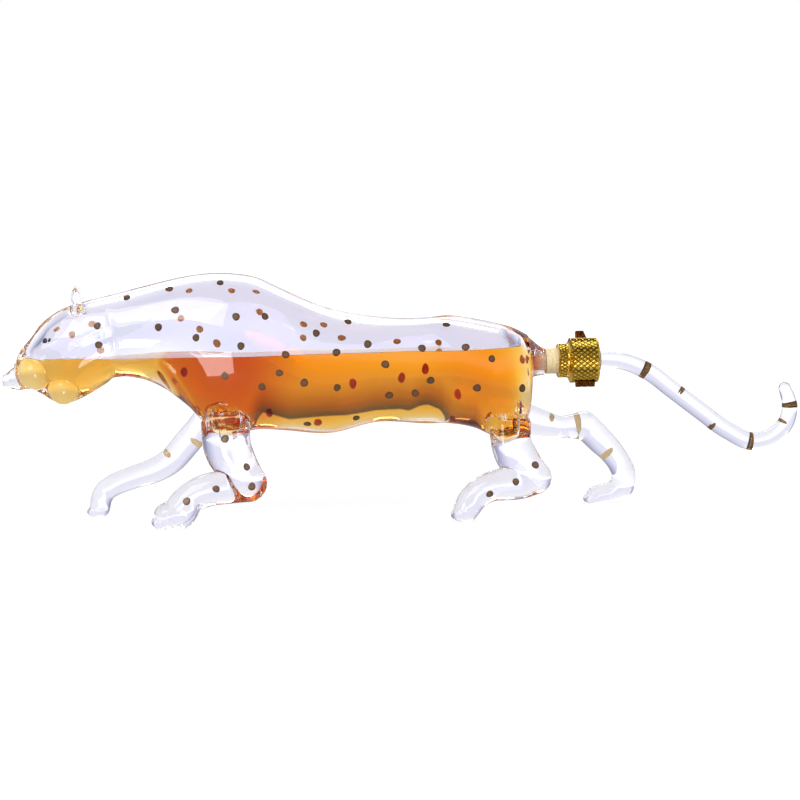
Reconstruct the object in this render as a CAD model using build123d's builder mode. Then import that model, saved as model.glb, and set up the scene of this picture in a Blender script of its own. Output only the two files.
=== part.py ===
from build123d import *
import os

# Figural liquor decanter: a walking leopard of blown glass with its tail as the stopper.
# The head points to -X, the tail to +X, +Z is up and the paws stand on Z = 0.
# The origin is in the middle of the outline on the table. All sizes are millimetres.

# Body
body_length = 314.5
withers_height = 154.0
trunk_width = 60.0
wall = 4.0
fill_level = 103.4
nose_reach = 14.1
nose_tip_diameter = 3.0
cheek_diameter = 18.2
cheek_wall = 2.0

# Neck and lip of the bottle
neck_axis_height = 95.0
neck_length = 7.9
neck_root_diameter = 25.0
lip_diameter = 16.8
lip_land = 1.2
bore_diameter = 12.0
buried_depth = 4.0

# Ears and eyes
ear_height = 16.5
ear_root_diameter = 9.0
ear_tip_diameter = 1.8
ear_spacing = 18.0
ear_spread = 4.0
eye_diameter = 2.6

# Legs
stance_width = 66.0
leg_diameter = 20.0

# Stopper
seat_gap = 0.3
cork_shoulder_diameter = 16.0
cork_shoulder_length = 7.6
cork_plug_length = 9.6
cork_clearance = 0.05
cork_taper = 0.5
cork_bevel = 0.5
spigot_diameter = 5.0
spigot_length = 9.0
glue_gap = 0.05

# Collar
band_diameter = 21.2
band_length = 5.7
cove_length = 2.2
drum_diameter = 28.2
drum_length = 17.4
collar_sheet = 1.2
collar_gap = 0.3
collar_corner = 1.0
split_angle = 22.0
hinge_barrel_diameter = 4.6
hinge_length = 12.0
hinge_pin_diameter = 2.0
hinge_offset = 1.1
pin_clearance = 0.05
knuckle_gap = 0.3
seam_gap = 0.3
tab_setback = 3.9
tab_width = 6.9
tab_top_width = 5.0
tab_depth = 3.6
tab_height = 5.6
tab_lap = 1.2
tab_lap_height = 1.4

# Tail
tail_root_diameter = 10.0
tail_root_depth = 12.0
tail_diameter = 11.0
tail_reach = 126.3
tail_drop = 53.7
ring_diameter = 13.0
ring_thickness = 1.8

# Enamel
enamel_thickness = 0.2
spot_diameter = 4.1

# Places along X, from the nose to the tip of the tail
collar_length = band_length + cove_length + drum_length
total_length = (
    nose_reach + body_length + neck_length + seat_gap + cork_shoulder_length
    + collar_length + ring_thickness + tail_reach
)
nose_x = -total_length / 2
front_x = nose_x + nose_reach
rump_x = front_x + body_length
lip_x = rump_x + neck_length
shoulder_x = lip_x + seat_gap
collar_x = shoulder_x + cork_shoulder_length
cove_x = collar_x + band_length
drum_x = cove_x + cove_length
collar_end_x = collar_x + collar_length
ring_end_x = collar_end_x + ring_thickness

# Cross-sections of the body, each an ellipse square to X:
# place along the body, top and bottom against the withers, width against the trunk
body_station_shares = [
    (0.000, 0.700, 0.585, 0.22),
    (0.013, 0.756, 0.546, 0.40),
    (0.031, 0.806, 0.529, 0.48),
    (0.055, 0.847, 0.499, 0.55),
    (0.078, 0.874, 0.491, 0.60),
    (0.102, 0.888, 0.506, 0.63),
    (0.125, 0.902, 0.529, 0.65),
    (0.149, 0.912, 0.556, 0.67),
    (0.173, 0.922, 0.585, 0.68),
    (0.219, 0.946, 0.585, 0.72),
    (0.266, 0.969, 0.547, 0.78),
    (0.314, 0.989, 0.471, 0.87),
    (0.361, 1.000, 0.386, 0.95),
    (0.407, 0.998, 0.357, 1.00),
    (0.454, 0.981, 0.367, 1.00),
    (0.501, 0.937, 0.361, 0.97),
    (0.595, 0.851, 0.346, 0.90),
    (0.690, 0.812, 0.384, 0.83),
    (0.785, 0.806, 0.375, 0.83),
    (0.833, 0.812, 0.373, 0.87),
    (0.880, 0.798, 0.354, 0.90),
    (0.929, 0.776, 0.311, 0.90),
    (0.957, 0.760, 0.308, 0.83),
    (0.979, 0.739, 0.338, 0.72),
    (0.992, 0.721, 0.393, 0.58),
    (1.000, 0.701, 0.442, 0.43),
]

# Bulbs blown out of the head on both sides, the cheeks and the jaw: place along the body,
# side against half the trunk, height against the withers, radius against the cheek
head_bulb_shares = [
    (0.016, 0.17, 0.618, 0.50),
    (0.076, 0.22, 0.535, 0.46),
]

# The nose drop's height against the neck's axis and its root against the cheek
nose_height_share = 0.948
nose_root_share = 0.9

# The ears and eyes: place along the body, height against the withers
ear_place_shares = (0.103, 0.858)
eye_place_shares = (0.039, 0.746)

# Centre lines of the legs from shoulder or hip to paw:
# place along the body, side against half the stance, height against the withers,
# radius against the leg
joint_ball_share = 1.03
front_left_upper_shares = [
    (0.387, -0.48, 0.420, 0.76),
    (0.390, -0.56, 0.318, 0.74),
    (0.403, -0.63, 0.251, 0.68),
    (0.419, -0.71, 0.196, 0.62),
    (0.429, -0.78, 0.169, 0.585),
]
front_left_lower_shares = [
    (0.429, -0.78, 0.169, 0.585),
    (0.390, -0.85, 0.158, 0.52),
    (0.351, -0.89, 0.149, 0.505),
    (0.316, -0.92, 0.118, 0.475),
    (0.291, -0.92, 0.060, 0.515),
    (0.272, -0.92, 0.049, 0.425),
]
front_right_upper_shares = [
    (0.366, 0.30, 0.450, 0.46),
    (0.337, 0.46, 0.370, 0.43),
    (0.308, 0.57, 0.301, 0.43),
    (0.279, 0.66, 0.234, 0.415),
    (0.244, 0.74, 0.192, 0.395),
    (0.203, 0.83, 0.164, 0.365),
    (0.169, 0.92, 0.138, 0.35),
    (0.144, 1.02, 0.108, 0.335),
]
front_right_lower_shares = [
    (0.144, 1.02, 0.108, 0.335),
    (0.134, 1.02, 0.072, 0.335),
    (0.131, 1.02, 0.036, 0.32),
]
rear_left_upper_shares = [
    (0.948, -0.48, 0.400, 0.65),
    (0.948, -0.55, 0.310, 0.63),
    (0.957, -0.61, 0.250, 0.645),
    (0.972, -0.68, 0.203, 0.60),
    (0.992, -0.74, 0.160, 0.52),
]
rear_left_lower_shares = [
    (0.992, -0.74, 0.160, 0.52),
    (0.962, -0.81, 0.145, 0.52),
    (0.929, -0.87, 0.141, 0.505),
    (0.901, -0.92, 0.132, 0.46),
    (0.872, -0.96, 0.099, 0.425),
    (0.856, -0.96, 0.056, 0.41),
    (0.853, -0.96, 0.045, 0.395),
]
rear_right_upper_shares = [
    (0.985, 0.48, 0.370, 0.55),
    (1.032, 0.54, 0.344, 0.445),
    (1.064, 0.59, 0.332, 0.335),
    (1.089, 0.64, 0.334, 0.35),
    (1.116, 0.69, 0.334, 0.50),
]
rear_right_lower_shares = [
    (1.112, 0.69, 0.334, 0.50),
    (1.148, 0.74, 0.270, 0.43),
    (1.169, 0.79, 0.226, 0.40),
    (1.187, 0.85, 0.178, 0.38),
    (1.199, 0.90, 0.121, 0.385),
    (1.197, 0.95, 0.069, 0.385),
]
rear_right_paw_shares = [
    (1.197, 0.95, 0.069, 0.385),
    (1.177, 1.00, 0.047, 0.32),
    (1.152, 1.00, 0.036, 0.305),
    (1.142, 1.00, 0.032, 0.29),
]

leg_run_shares = {
    "front_left": [front_left_upper_shares, front_left_lower_shares],
    "front_right": [front_right_upper_shares, front_right_lower_shares],
    "rear_left": [rear_left_upper_shares, rear_left_lower_shares],
    "rear_right": [rear_right_upper_shares, rear_right_lower_shares, rear_right_paw_shares],
}

# Centre line of the tail behind the ring:
# place along its reach, fall against its drop, radius against the tail
tail_shares = [
    (0.102, 0.019, 0.472),
    (0.227, 0.132, 0.490),
    (0.364, 0.374, 0.490),
    (0.505, 0.629, 0.500),
    (0.647, 0.875, 0.500),
    (0.759, 1.000, 0.500),
    (0.851, 0.970, 0.482),
    (0.939, 0.797, 0.455),
    (0.959, 0.585, 0.436),
    (0.934, 0.382, 0.345),
]

# Bands and marks on the tail: station on the tail's list, how far on to the next one,
# width against the tail, and which part of the round they cover
tail_mark_shares = [
    (1, 0.00, 0.27, "round"),
    (2, 0.20, 0.24, "upper"),
    (3, 0.50, 0.30, "lower"),
    (5, 0.00, 0.16, "round"),
    (7, 0.00, 0.30, "upper"),
    (8, 0.00, 0.24, "round"),
]

# Enamel spots: place along the body, height against the withers
left_spot_shares = [
    (0.145, 0.805), (0.147, 0.730), (0.202, 0.913), (0.285, 0.944),
    (0.384, 0.965), (0.263, 0.796), (0.296, 0.862), (0.335, 0.753),
    (0.413, 0.833), (0.469, 0.831), (0.421, 0.718), (0.507, 0.679),
    (0.568, 0.759), (0.632, 0.800), (0.606, 0.682), (0.668, 0.711),
    (0.825, 0.780), (0.774, 0.690), (0.859, 0.691), (0.389, 0.600),
    (0.494, 0.607), (0.542, 0.565), (0.548, 0.393), (0.644, 0.412),
    (0.701, 0.630), (0.759, 0.511), (0.789, 0.562), (0.879, 0.529),
    (0.909, 0.644), (0.970, 0.521), (0.460, 0.553),
    (0.606, 0.542), (0.708, 0.505),
]
right_spot_shares = [
    (0.128, 0.806), (0.142, 0.696), (0.086, 0.764), (0.055, 0.800),
    (0.321, 0.941), (0.407, 0.934), (0.457, 0.932), (0.302, 0.816),
    (0.341, 0.765), (0.462, 0.833), (0.376, 0.706), (0.549, 0.790),
    (0.546, 0.730), (0.590, 0.795), (0.625, 0.732), (0.734, 0.706),
    (0.821, 0.695), (0.384, 0.471), (0.572, 0.429), (0.790, 0.584),
    (0.845, 0.437), (0.860, 0.511), (0.933, 0.437), (0.741, 0.562),
    (0.640, 0.546), (0.478, 0.471), (0.320, 0.622), (0.975, 0.592),
]

# Enamel on the legs: place along the body, height against the withers
leg_spot_shares = {
    "front_left": [(0.386, 0.353), (0.427, 0.240), (0.436, 0.164), (0.367, 0.160), (0.310, 0.115)],
    "front_right": [(0.326, 0.318), (0.277, 0.250), (0.133, 0.138)],
    "rear_left": [(0.948, 0.438), (0.990, 0.218), (0.949, 0.156), (0.897, 0.111)],
    "rear_right": [(1.042, 0.358), (1.105, 0.334), (1.152, 0.306), (1.166, 0.222), (1.180, 0.146)],
}


def along_body(share):
    """X of a place given as a share of the body's length from its front."""
    return front_x + share * body_length


def body_sections(inset):
    """Planes and radii of the body's ellipses, drawn in all round by the inset."""
    sections = []
    for place, top, bottom, width in body_station_shares:
        x = front_x + inset + place * (body_length - 2 * inset)
        half_height = (top - bottom) * withers_height / 2 - inset
        half_width = width * trunk_width / 2 - inset
        centre = (x, 0, (top + bottom) * withers_height / 2)
        sections.append((Plane(centre, x_dir=(0, 1, 0), z_dir=(1, 0, 0)), half_width, half_height))
    return sections


def leg_points(shares):
    """Centre points and radii of a leg's stations."""
    half_stance = stance_width / 2
    return [
        (Vector(along_body(x), side * half_stance, z * withers_height), radius * leg_diameter)
        for x, side, z, radius in shares
    ]


def tube_sections(points, extra=0):
    """Planes square to a centre line and the radii there, each grown by the extra."""
    sections = []
    for index, (centre, radius) in enumerate(points):
        before = points[max(index - 1, 0)][0]
        after = points[min(index + 1, len(points) - 1)][0]
        sections.append((Plane(centre, z_dir=after - before), radius + extra))
    return sections


def leg_balls(name, extra=0):
    """Centres and radii of the rounded top, joints and toes of a leg."""
    runs = [leg_points(run) for run in leg_run_shares[name]]
    ends = [runs[0][0]] + [run[-1] for run in runs]
    return [(centre, radius * joint_ball_share + extra) for centre, radius in ends]


def mark_station(index, past):
    """Point, direction and radius on the tail, a part of the way past one of its stations."""
    centre, radius = tail_points[index]
    after, next_radius = tail_points[min(index + 1, len(tail_points) - 1)]
    before = tail_points[max(index - 1, 0)][0]
    point = centre + (after - centre) * past
    return point, after - before, radius + (next_radius - radius) * past


head_bulbs = [
    (
        (along_body(x), sign * side * trunk_width / 2, z * withers_height),
        radius * cheek_diameter,
    )
    for x, side, z, radius in head_bulb_shares
    for sign in (-1, 1)
]
neck_plane = Plane((0, 0, neck_axis_height), x_dir=(1, 0, 0), z_dir=(0, -1, 0))
neck_axis = Axis((0, 0, neck_axis_height), (1, 0, 0))
tail_points = [
    (
        Vector(
            ring_end_x + place * tail_reach, 0, neck_axis_height - fall * tail_drop
        ),
        radius * tail_diameter,
    )
    for place, fall, radius in tail_shares
]

os.makedirs("parts", exist_ok=True)

# The blown form, outside: trunk and head, cheek and jaw bulbs and the flared neck
with BuildPart() as blown_form:
    for plane, half_width, half_height in body_sections(0):
        with BuildSketch(plane):
            Ellipse(half_width, half_height)
    loft()
    for centre, radius in head_bulbs:
        with Locations(centre):
            Sphere(radius)
    with BuildSketch(neck_plane):
        with BuildLine():
            root = (rump_x - buried_depth, neck_root_diameter / 2)
            land = (lip_x - lip_land, lip_diameter / 2)
            TangentArc(land, root, tangent=(-1, 0))
            Polyline(
                root, (rump_x - buried_depth, 0), (lip_x, 0), (lip_x, lip_diameter / 2), land
            )
        make_face()
    revolve(axis=neck_axis)

# The blown form, inside: what the glass holds
with BuildPart() as cavity:
    for plane, half_width, half_height in body_sections(wall):
        with BuildSketch(plane):
            Ellipse(half_width, half_height)
    loft()
    for centre, radius in head_bulbs:
        with Locations(centre):
            Sphere(radius - cheek_wall)
    with BuildSketch(Plane((rump_x - wall - buried_depth, 0, neck_axis_height), z_dir=(1, 0, 0))):
        Circle(bore_diameter / 2)
    extrude(amount=wall + buried_depth + neck_length)

with BuildPart() as glass_body:
    add(blown_form.part)
    add(cavity.part, mode=Mode.SUBTRACT)
glass_body.part.label = "glass_body"
export_step(glass_body.part, "parts/glass_body.step")

# The filling, level with the table, up to a little short of the cork
cork_end_x = shoulder_x - cork_plug_length
with BuildPart() as liquor:
    add(cavity.part)
    split(bisect_by=Plane.XY.offset(fill_level), keep=Keep.BOTTOM)
    split(bisect_by=Plane.YZ.offset(cork_end_x - seat_gap), keep=Keep.BOTTOM)
liquor.part.label = "liquor"
export_step(liquor.part, "parts/liquor.step")

# Solid drop of the nose, drawn onto the front of the head
with BuildPart() as nose_tip:
    tip_centre = (nose_x + nose_tip_diameter / 2, 0, neck_axis_height * nose_height_share)
    root_centre = (head_bulbs[0][0][0], 0, head_bulbs[0][0][2])
    nose_axis = Vector(*root_centre) - Vector(*tip_centre)
    with BuildSketch(Plane(root_centre, z_dir=nose_axis)):
        Circle(cheek_diameter / 2 * nose_root_share)
    with BuildSketch(Plane(tip_centre, z_dir=nose_axis)):
        Circle(nose_tip_diameter / 2)
    loft()
    with Locations(tip_centre):
        Sphere(nose_tip_diameter / 2)
    add(blown_form.part, mode=Mode.SUBTRACT)
nose_tip.part.label = "nose_tip"
export_step(nose_tip.part, "parts/nose_tip.step")

for side_name, side in (("left", -1), ("right", 1)):
    with BuildPart() as ear:
        ear_x = along_body(ear_place_shares[0])
        ear_z = ear_place_shares[1] * withers_height
        with BuildSketch(Plane((ear_x, side * ear_spacing / 2, ear_z))):
            Circle(ear_root_diameter / 2)
        tip_y = side * (ear_spacing + ear_spread) / 2
        with BuildSketch(Plane((ear_x, tip_y, ear_z + ear_height - ear_tip_diameter / 2))):
            Circle(ear_tip_diameter / 2)
        loft()
        with Locations((ear_x, tip_y, ear_z + ear_height - ear_tip_diameter / 2)):
            Sphere(ear_tip_diameter / 2)
        add(blown_form.part, mode=Mode.SUBTRACT)
    ear.part.label = side_name + "_ear"
    export_step(ear.part, "parts/" + ear.part.label + ".step")

# Solid legs, flat where the paws stand
legs = {}
for leg_name, runs in leg_run_shares.items():
    with BuildPart() as leg:
        for run in runs:
            for plane, radius in tube_sections(leg_points(run)):
                with BuildSketch(plane):
                    Circle(radius)
            loft()
        for centre, radius in leg_balls(leg_name):
            with Locations(centre):
                Sphere(radius)
        split(bisect_by=Plane.XY, keep=Keep.TOP)
        add(blown_form.part, mode=Mode.SUBTRACT)
    leg.part.label = leg_name + "_leg"
    export_step(leg.part, "parts/" + leg.part.label + ".step")
    legs[leg_name] = leg.part

# Cork plug with its shoulder, bored for the spigot of the core
with BuildPart() as cork:
    with BuildSketch(neck_plane):
        with BuildLine():
            plug_radius = bore_diameter / 2 - cork_clearance
            Polyline(
                (cork_end_x, 0),
                (cork_end_x, plug_radius - cork_taper),
                (shoulder_x, plug_radius),
                (shoulder_x, cork_shoulder_diameter / 2 - cork_bevel),
                (shoulder_x + cork_bevel, cork_shoulder_diameter / 2),
                (collar_x, cork_shoulder_diameter / 2),
                (collar_x, 0),
                close=True,
            )
        make_face()
    revolve(axis=neck_axis)
    with BuildSketch(Plane((collar_x, 0, neck_axis_height), z_dir=(1, 0, 0))):
        Circle(spigot_diameter / 2 + glue_gap)
    extrude(amount=-spigot_length, mode=Mode.SUBTRACT)
cork.part.label = "cork"
export_step(cork.part, "parts/cork.step")

# Core of the stopper: spigot in the cork, waist, flange inside the drum, socket for the tail
waist_radius = band_diameter / 2 - collar_sheet - collar_gap
flange_radius = drum_diameter / 2 - collar_sheet - collar_gap
flange_x = drum_x + collar_sheet + collar_gap
core_end_x = collar_end_x - collar_sheet - collar_gap
tail_root_x = core_end_x - tail_root_depth
with BuildPart() as stopper_core:
    with BuildSketch(neck_plane):
        with BuildLine():
            Polyline(
                (collar_x - spigot_length, 0),
                (collar_x - spigot_length, spigot_diameter / 2),
                (collar_x, spigot_diameter / 2),
                (collar_x, waist_radius),
                (flange_x, waist_radius),
                (flange_x, flange_radius),
                (core_end_x, flange_radius),
                (core_end_x, tail_root_diameter / 2 + glue_gap),
                (tail_root_x, tail_root_diameter / 2 + glue_gap),
                (tail_root_x, 0),
                close=True,
            )
        make_face()
    revolve(axis=neck_axis)
stopper_core.part.label = "stopper_core"
export_step(stopper_core.part, "parts/stopper_core.step")

# Gilt collar: a thin shell parted along a plane through the neck's axis, with a hinge low on
# the left and a catch tab on top
towards_hinge = Vector(0, -1, 0).rotate(Axis.X, 90 - split_angle)
towards_front = Vector(0, -1, 0).rotate(Axis.X, -split_angle)
neck_point = Vector(0, 0, neck_axis_height)
hinge_mid_x = drum_x + drum_length / 2
hinge_point = neck_point + towards_hinge * (drum_diameter / 2 + hinge_offset)
knuckle_length = (hinge_length - 2 * knuckle_gap) / 3
knuckle_pitch = knuckle_length + knuckle_gap
with BuildPart() as collar_shell:
    with BuildSketch(neck_plane):
        with BuildLine():
            inner_band = band_diameter / 2 - collar_sheet
            inner_drum = drum_diameter / 2 - collar_sheet
            inner_end = tail_root_diameter / 2 + collar_gap
            Polyline((collar_x, inner_band), (collar_x, band_diameter / 2), (cove_x, band_diameter / 2))
            TangentArc((cove_x, band_diameter / 2), (drum_x, drum_diameter / 2), tangent=(1, 0))
            Line((drum_x, drum_diameter / 2), (collar_end_x - collar_corner, drum_diameter / 2))
            RadiusArc(
                (collar_end_x - collar_corner, drum_diameter / 2),
                (collar_end_x, drum_diameter / 2 - collar_corner),
                collar_corner,
            )
            Polyline(
                (collar_end_x, drum_diameter / 2 - collar_corner),
                (collar_end_x, inner_end),
                (collar_end_x - collar_sheet, inner_end),
                (collar_end_x - collar_sheet, inner_drum),
                (drum_x + collar_sheet, inner_drum),
                (drum_x + collar_sheet, inner_band),
                (collar_x, inner_band),
            )
        make_face()
    revolve(axis=neck_axis)

halves = (
    ("collar_front_half", towards_front, (0,), (-1, 1)),
    ("collar_rear_half", -towards_front, (-1, 1), (0,)),
)
for half_name, outward, own_knuckles, other_knuckles in halves:
    with BuildPart() as collar_half:
        add(collar_shell.part)
        split(bisect_by=Plane(neck_point + outward * (seam_gap / 2), z_dir=outward), keep=Keep.TOP)
        for number in other_knuckles:
            middle = Vector(hinge_mid_x + number * knuckle_pitch, hinge_point.Y, hinge_point.Z)
            with BuildSketch(Plane(middle, z_dir=(1, 0, 0))):
                Circle(hinge_barrel_diameter / 2 + knuckle_gap)
            extrude(amount=knuckle_length / 2 + knuckle_gap, both=True, mode=Mode.SUBTRACT)
        for number in own_knuckles:
            middle = Vector(hinge_mid_x + number * knuckle_pitch, hinge_point.Y, hinge_point.Z)
            with BuildSketch(Plane(middle, z_dir=(1, 0, 0))):
                Circle(hinge_barrel_diameter / 2)
            extrude(amount=knuckle_length / 2, both=True)
        start = Vector(hinge_mid_x - hinge_length, hinge_point.Y, hinge_point.Z)
        with BuildSketch(Plane(start, z_dir=(1, 0, 0))):
            Circle(hinge_pin_diameter / 2 + pin_clearance)
        extrude(amount=2 * hinge_length, mode=Mode.SUBTRACT)
    collar_half.part.label = half_name
    export_step(collar_half.part, "parts/" + half_name + ".step")

with BuildPart() as hinge_pin:
    start = Vector(hinge_mid_x - hinge_length / 2, hinge_point.Y, hinge_point.Z)
    with BuildSketch(Plane(start, z_dir=(1, 0, 0))):
        Circle(hinge_pin_diameter / 2)
    extrude(amount=hinge_length)
hinge_pin.part.label = "hinge_pin"
export_step(hinge_pin.part, "parts/hinge_pin.step")

# Catch tab: it stands on the rear half and laps over the seam
with BuildPart() as catch_tab:
    tab_x = drum_x + tab_setback
    tab_foot = neck_point + Vector(tab_x, 0, 0)
    drum_radius = drum_diameter / 2
    with BuildSketch(Plane(tab_foot, x_dir=(1, 0, 0), z_dir=towards_front)):
        Polygon(
            (0, drum_radius - collar_sheet),
            (tab_width, drum_radius - collar_sheet),
            (tab_width, drum_radius + seam_gap),
            (tab_top_width, drum_radius + tab_height),
            (0, drum_radius + tab_height),
            align=None,
        )
    extrude(amount=-tab_depth)
    with BuildSketch(Plane(tab_foot, x_dir=(1, 0, 0), z_dir=towards_front)):
        with Locations((0, drum_radius + seam_gap)):
            Rectangle(tab_top_width, tab_lap_height, align=(Align.MIN, Align.MIN))
    extrude(amount=tab_lap)
    with BuildSketch(Plane((collar_x, 0, neck_axis_height), z_dir=(1, 0, 0))):
        Circle(drum_radius)
    extrude(amount=collar_length, mode=Mode.SUBTRACT)
catch_tab.part.label = "catch_tab"
export_step(catch_tab.part, "parts/catch_tab.step")

# Tail: a solid glass rod, straight in the core and bent in an S behind the collar
with BuildPart() as tail:
    tail_entry = [
        (Vector(place, 0, neck_axis_height), tail_root_diameter / 2)
        for place in (collar_end_x, ring_end_x)
    ]
    with BuildSketch(Plane((tail_root_x, 0, neck_axis_height), z_dir=(1, 0, 0))):
        Circle(tail_root_diameter / 2)
    extrude(amount=collar_end_x - tail_root_x)
    for plane, radius in tube_sections(tail_entry + tail_points):
        with BuildSketch(plane):
            Circle(radius)
    loft()
    with Locations(tail_points[-1][0]):
        Sphere(tail_points[-1][1] * joint_ball_share)
tail.part.label = "tail"
export_step(tail.part, "parts/tail.step")

with BuildPart() as tail_ring:
    with BuildSketch(Plane((collar_end_x + seat_gap, 0, neck_axis_height), z_dir=(1, 0, 0))):
        Circle(ring_diameter / 2)
        Circle(tail_root_diameter / 2 + glue_gap, mode=Mode.SUBTRACT)
    extrude(amount=ring_thickness - seat_gap)
tail_ring.part.label = "tail_ring"
export_step(tail_ring.part, "parts/tail_ring.step")

with BuildPart() as tail_bands:
    for index, past, width, cover in tail_mark_shares:
        point, direction, radius = mark_station(index, past)
        reach = radius + enamel_thickness
        with BuildSketch(Plane(point, x_dir=(0, 1, 0), z_dir=direction)):
            Circle(reach)
            if cover != "round":
                edge = Align.MIN if cover == "upper" else Align.MAX
                Rectangle(2 * reach, reach, align=(Align.CENTER, edge), mode=Mode.INTERSECT)
        extrude(amount=width * tail_diameter / 2, both=True)
    add(tail.part, mode=Mode.SUBTRACT)
tail_bands.part.label = "tail_bands"
export_step(tail_bands.part, "parts/tail_bands.step")

# Enamel on the body: discs as thick as the enamel, lying on the glass
with BuildPart() as body_skin:
    for plane, half_width, half_height in body_sections(-enamel_thickness):
        with BuildSketch(plane):
            Ellipse(half_width, half_height)
    loft()
    add(blown_form.part, mode=Mode.SUBTRACT)

body_spots = (
    ("left_side_spots", left_spot_shares, 1, spot_diameter),
    ("right_side_spots", right_spot_shares, -1, spot_diameter),
    ("left_eye", [eye_place_shares], 1, eye_diameter),
    ("right_eye", [eye_place_shares], -1, eye_diameter),
)
for group_name, places, side, diameter in body_spots:
    with BuildPart() as group:
        with BuildSketch(Plane.XZ):
            with Locations(*[(along_body(x), z * withers_height) for x, z in places]):
                Circle(diameter / 2)
        extrude(amount=side * trunk_width)
        add(body_skin.part, mode=Mode.INTERSECT)
    group.part.label = group_name
    export_step(group.part, "parts/" + group_name + ".step")

# Enamel on the legs, on the side that faces away from the other legs
for leg_name, places in leg_spot_shares.items():
    side = 1 if leg_name.endswith("left") else -1
    points = [point for run in leg_run_shares[leg_name] for point in leg_points(run)]
    with BuildPart() as leg_skin:
        for run in leg_run_shares[leg_name]:
            for plane, radius in tube_sections(leg_points(run), enamel_thickness):
                with BuildSketch(plane):
                    Circle(radius)
            loft()
        for centre, radius in leg_balls(leg_name, enamel_thickness):
            with Locations(centre):
                Sphere(radius)
        add(legs[leg_name], mode=Mode.SUBTRACT)
        add(blown_form.part, mode=Mode.SUBTRACT)
    with BuildPart() as leg_spots:
        for x_share, z_share in places:
            x = along_body(x_share)
            z = z_share * withers_height
            near = min(points, key=lambda point: (point[0] - Vector(x, point[0].Y, z)).length)
            with BuildSketch(Plane.XZ.offset(-near[0].Y)):
                with Locations((x, z)):
                    Circle(spot_diameter / 2)
            extrude(amount=side * leg_diameter)
        add(leg_skin.part, mode=Mode.INTERSECT)
    leg_spots.part.label = leg_name + "_leg_spots"
    export_step(leg_spots.part, "parts/" + leg_spots.part.label + ".step")
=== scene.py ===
"""A figural liquor decanter: a walking leopard of blown glass whose tail is the stopper's handle.

Every piece is worked out in millimetres from the same named sizes as the CAD part and put into
its mesh in metres, in the CAD's own frame.
"""

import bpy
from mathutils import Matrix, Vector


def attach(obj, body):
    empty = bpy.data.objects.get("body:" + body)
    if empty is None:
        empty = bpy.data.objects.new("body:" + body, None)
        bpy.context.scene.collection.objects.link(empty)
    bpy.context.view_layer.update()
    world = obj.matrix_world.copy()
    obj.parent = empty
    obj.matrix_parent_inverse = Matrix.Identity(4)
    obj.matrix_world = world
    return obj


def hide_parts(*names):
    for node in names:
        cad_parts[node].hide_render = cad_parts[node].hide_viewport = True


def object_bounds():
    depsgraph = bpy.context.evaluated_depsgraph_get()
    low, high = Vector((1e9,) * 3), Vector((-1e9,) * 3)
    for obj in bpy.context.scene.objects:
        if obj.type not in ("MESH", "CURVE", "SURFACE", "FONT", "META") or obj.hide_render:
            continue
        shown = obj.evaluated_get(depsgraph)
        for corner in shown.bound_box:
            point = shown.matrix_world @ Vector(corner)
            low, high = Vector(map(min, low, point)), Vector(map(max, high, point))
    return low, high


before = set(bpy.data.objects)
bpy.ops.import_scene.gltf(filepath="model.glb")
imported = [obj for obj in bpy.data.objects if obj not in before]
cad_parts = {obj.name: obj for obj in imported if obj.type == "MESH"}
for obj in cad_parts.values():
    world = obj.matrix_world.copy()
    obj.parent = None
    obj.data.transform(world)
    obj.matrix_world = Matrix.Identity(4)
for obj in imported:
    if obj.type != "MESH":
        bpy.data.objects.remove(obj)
cad_box = [list(corner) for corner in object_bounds()]

import logging
import math
from contextlib import contextmanager
from dataclasses import dataclass
from enum import Enum
from functools import partial
from typing import Callable, Iterator, Optional, Sequence

import bmesh
import bpy
import numpy as np
from bpy.types import ID, Material, Mesh, Node, NodeTree, Object
from mathutils import Matrix, Vector
from mathutils.bvhtree import BVHTree

MILLIMETRE = 0.001
LOG = logging.getLogger("decanter")
# Short names of types: a colour is linear red, green, blue and alpha, a shape is points in
# millimetres with the faces between them, feeds say what each input of a node takes, and an
# adder adds a node to one tree
Array = np.ndarray
Pair = tuple[float, float]
Triple = tuple[float, float, float]
Colour = tuple[float, float, float, float]
Shape = tuple[Array, list[list[int]]]
Feeds = dict[str, tuple[Node, int]]
Adder = Callable[..., Node]

# The animal in millimetres: the trunk's length, the height, the widths and the round sizes
BODY_LENGTH = 314.5
WITHERS = 153.9
TRUNK_WIDTH = 60.0
STANCE_WIDTH = 66.0
LEG_DIAMETER = 20.0
CHEEK_DIAMETER = 18.2
# Along X: the trunk's front and rear ends, the tip of the nose and the bottle's lip
FRONT_X = -234.8
RUMP_X = 79.7
NOSE_X = -248.88
LIP_X = 87.6
# The neck's axis and bore, and the liquor's level
NECK_Z = 95.0
BORE_RADIUS = 6.0
LEVEL_Z = 103.4
# The stopper along X: the cork's shoulder, the collar's start, cove, drum and end, the ring's end
SHOULDER_X = 87.9
COLLAR_X = 95.5
COVE_X = 101.2
DRUM_X = 103.4
COLLAR_END_X = 120.8
RING_END_X = 122.6
# A ray's longest length in millimetres and how often it is halved to find a surface
RAY_LENGTH = 75.0
HALVINGS = 26
# Steps of the running sum that spaces rows, and rings in the dome that ends a carried profile
SUM_STEPS = 4001
DOME_RINGS = 8
# In metres: points nearer than this are one, and an edge shorter than this is dropped
MERGE_LIMIT = 2e-6
EDGE_LIMIT = 1e-6
# How far under the blown wall's surface a solid's face lies at least, to be part of a weld
WELD_DEPTH = 0.2
# The numbers of an RGBA Mix node's factor, its two colours and its result
FACTOR, FIRST, SECOND, MIXED = 0, 6, 7, 2
RGBA = {"data_type": "RGBA"}
WHITE = "FFFFFF"

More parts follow.
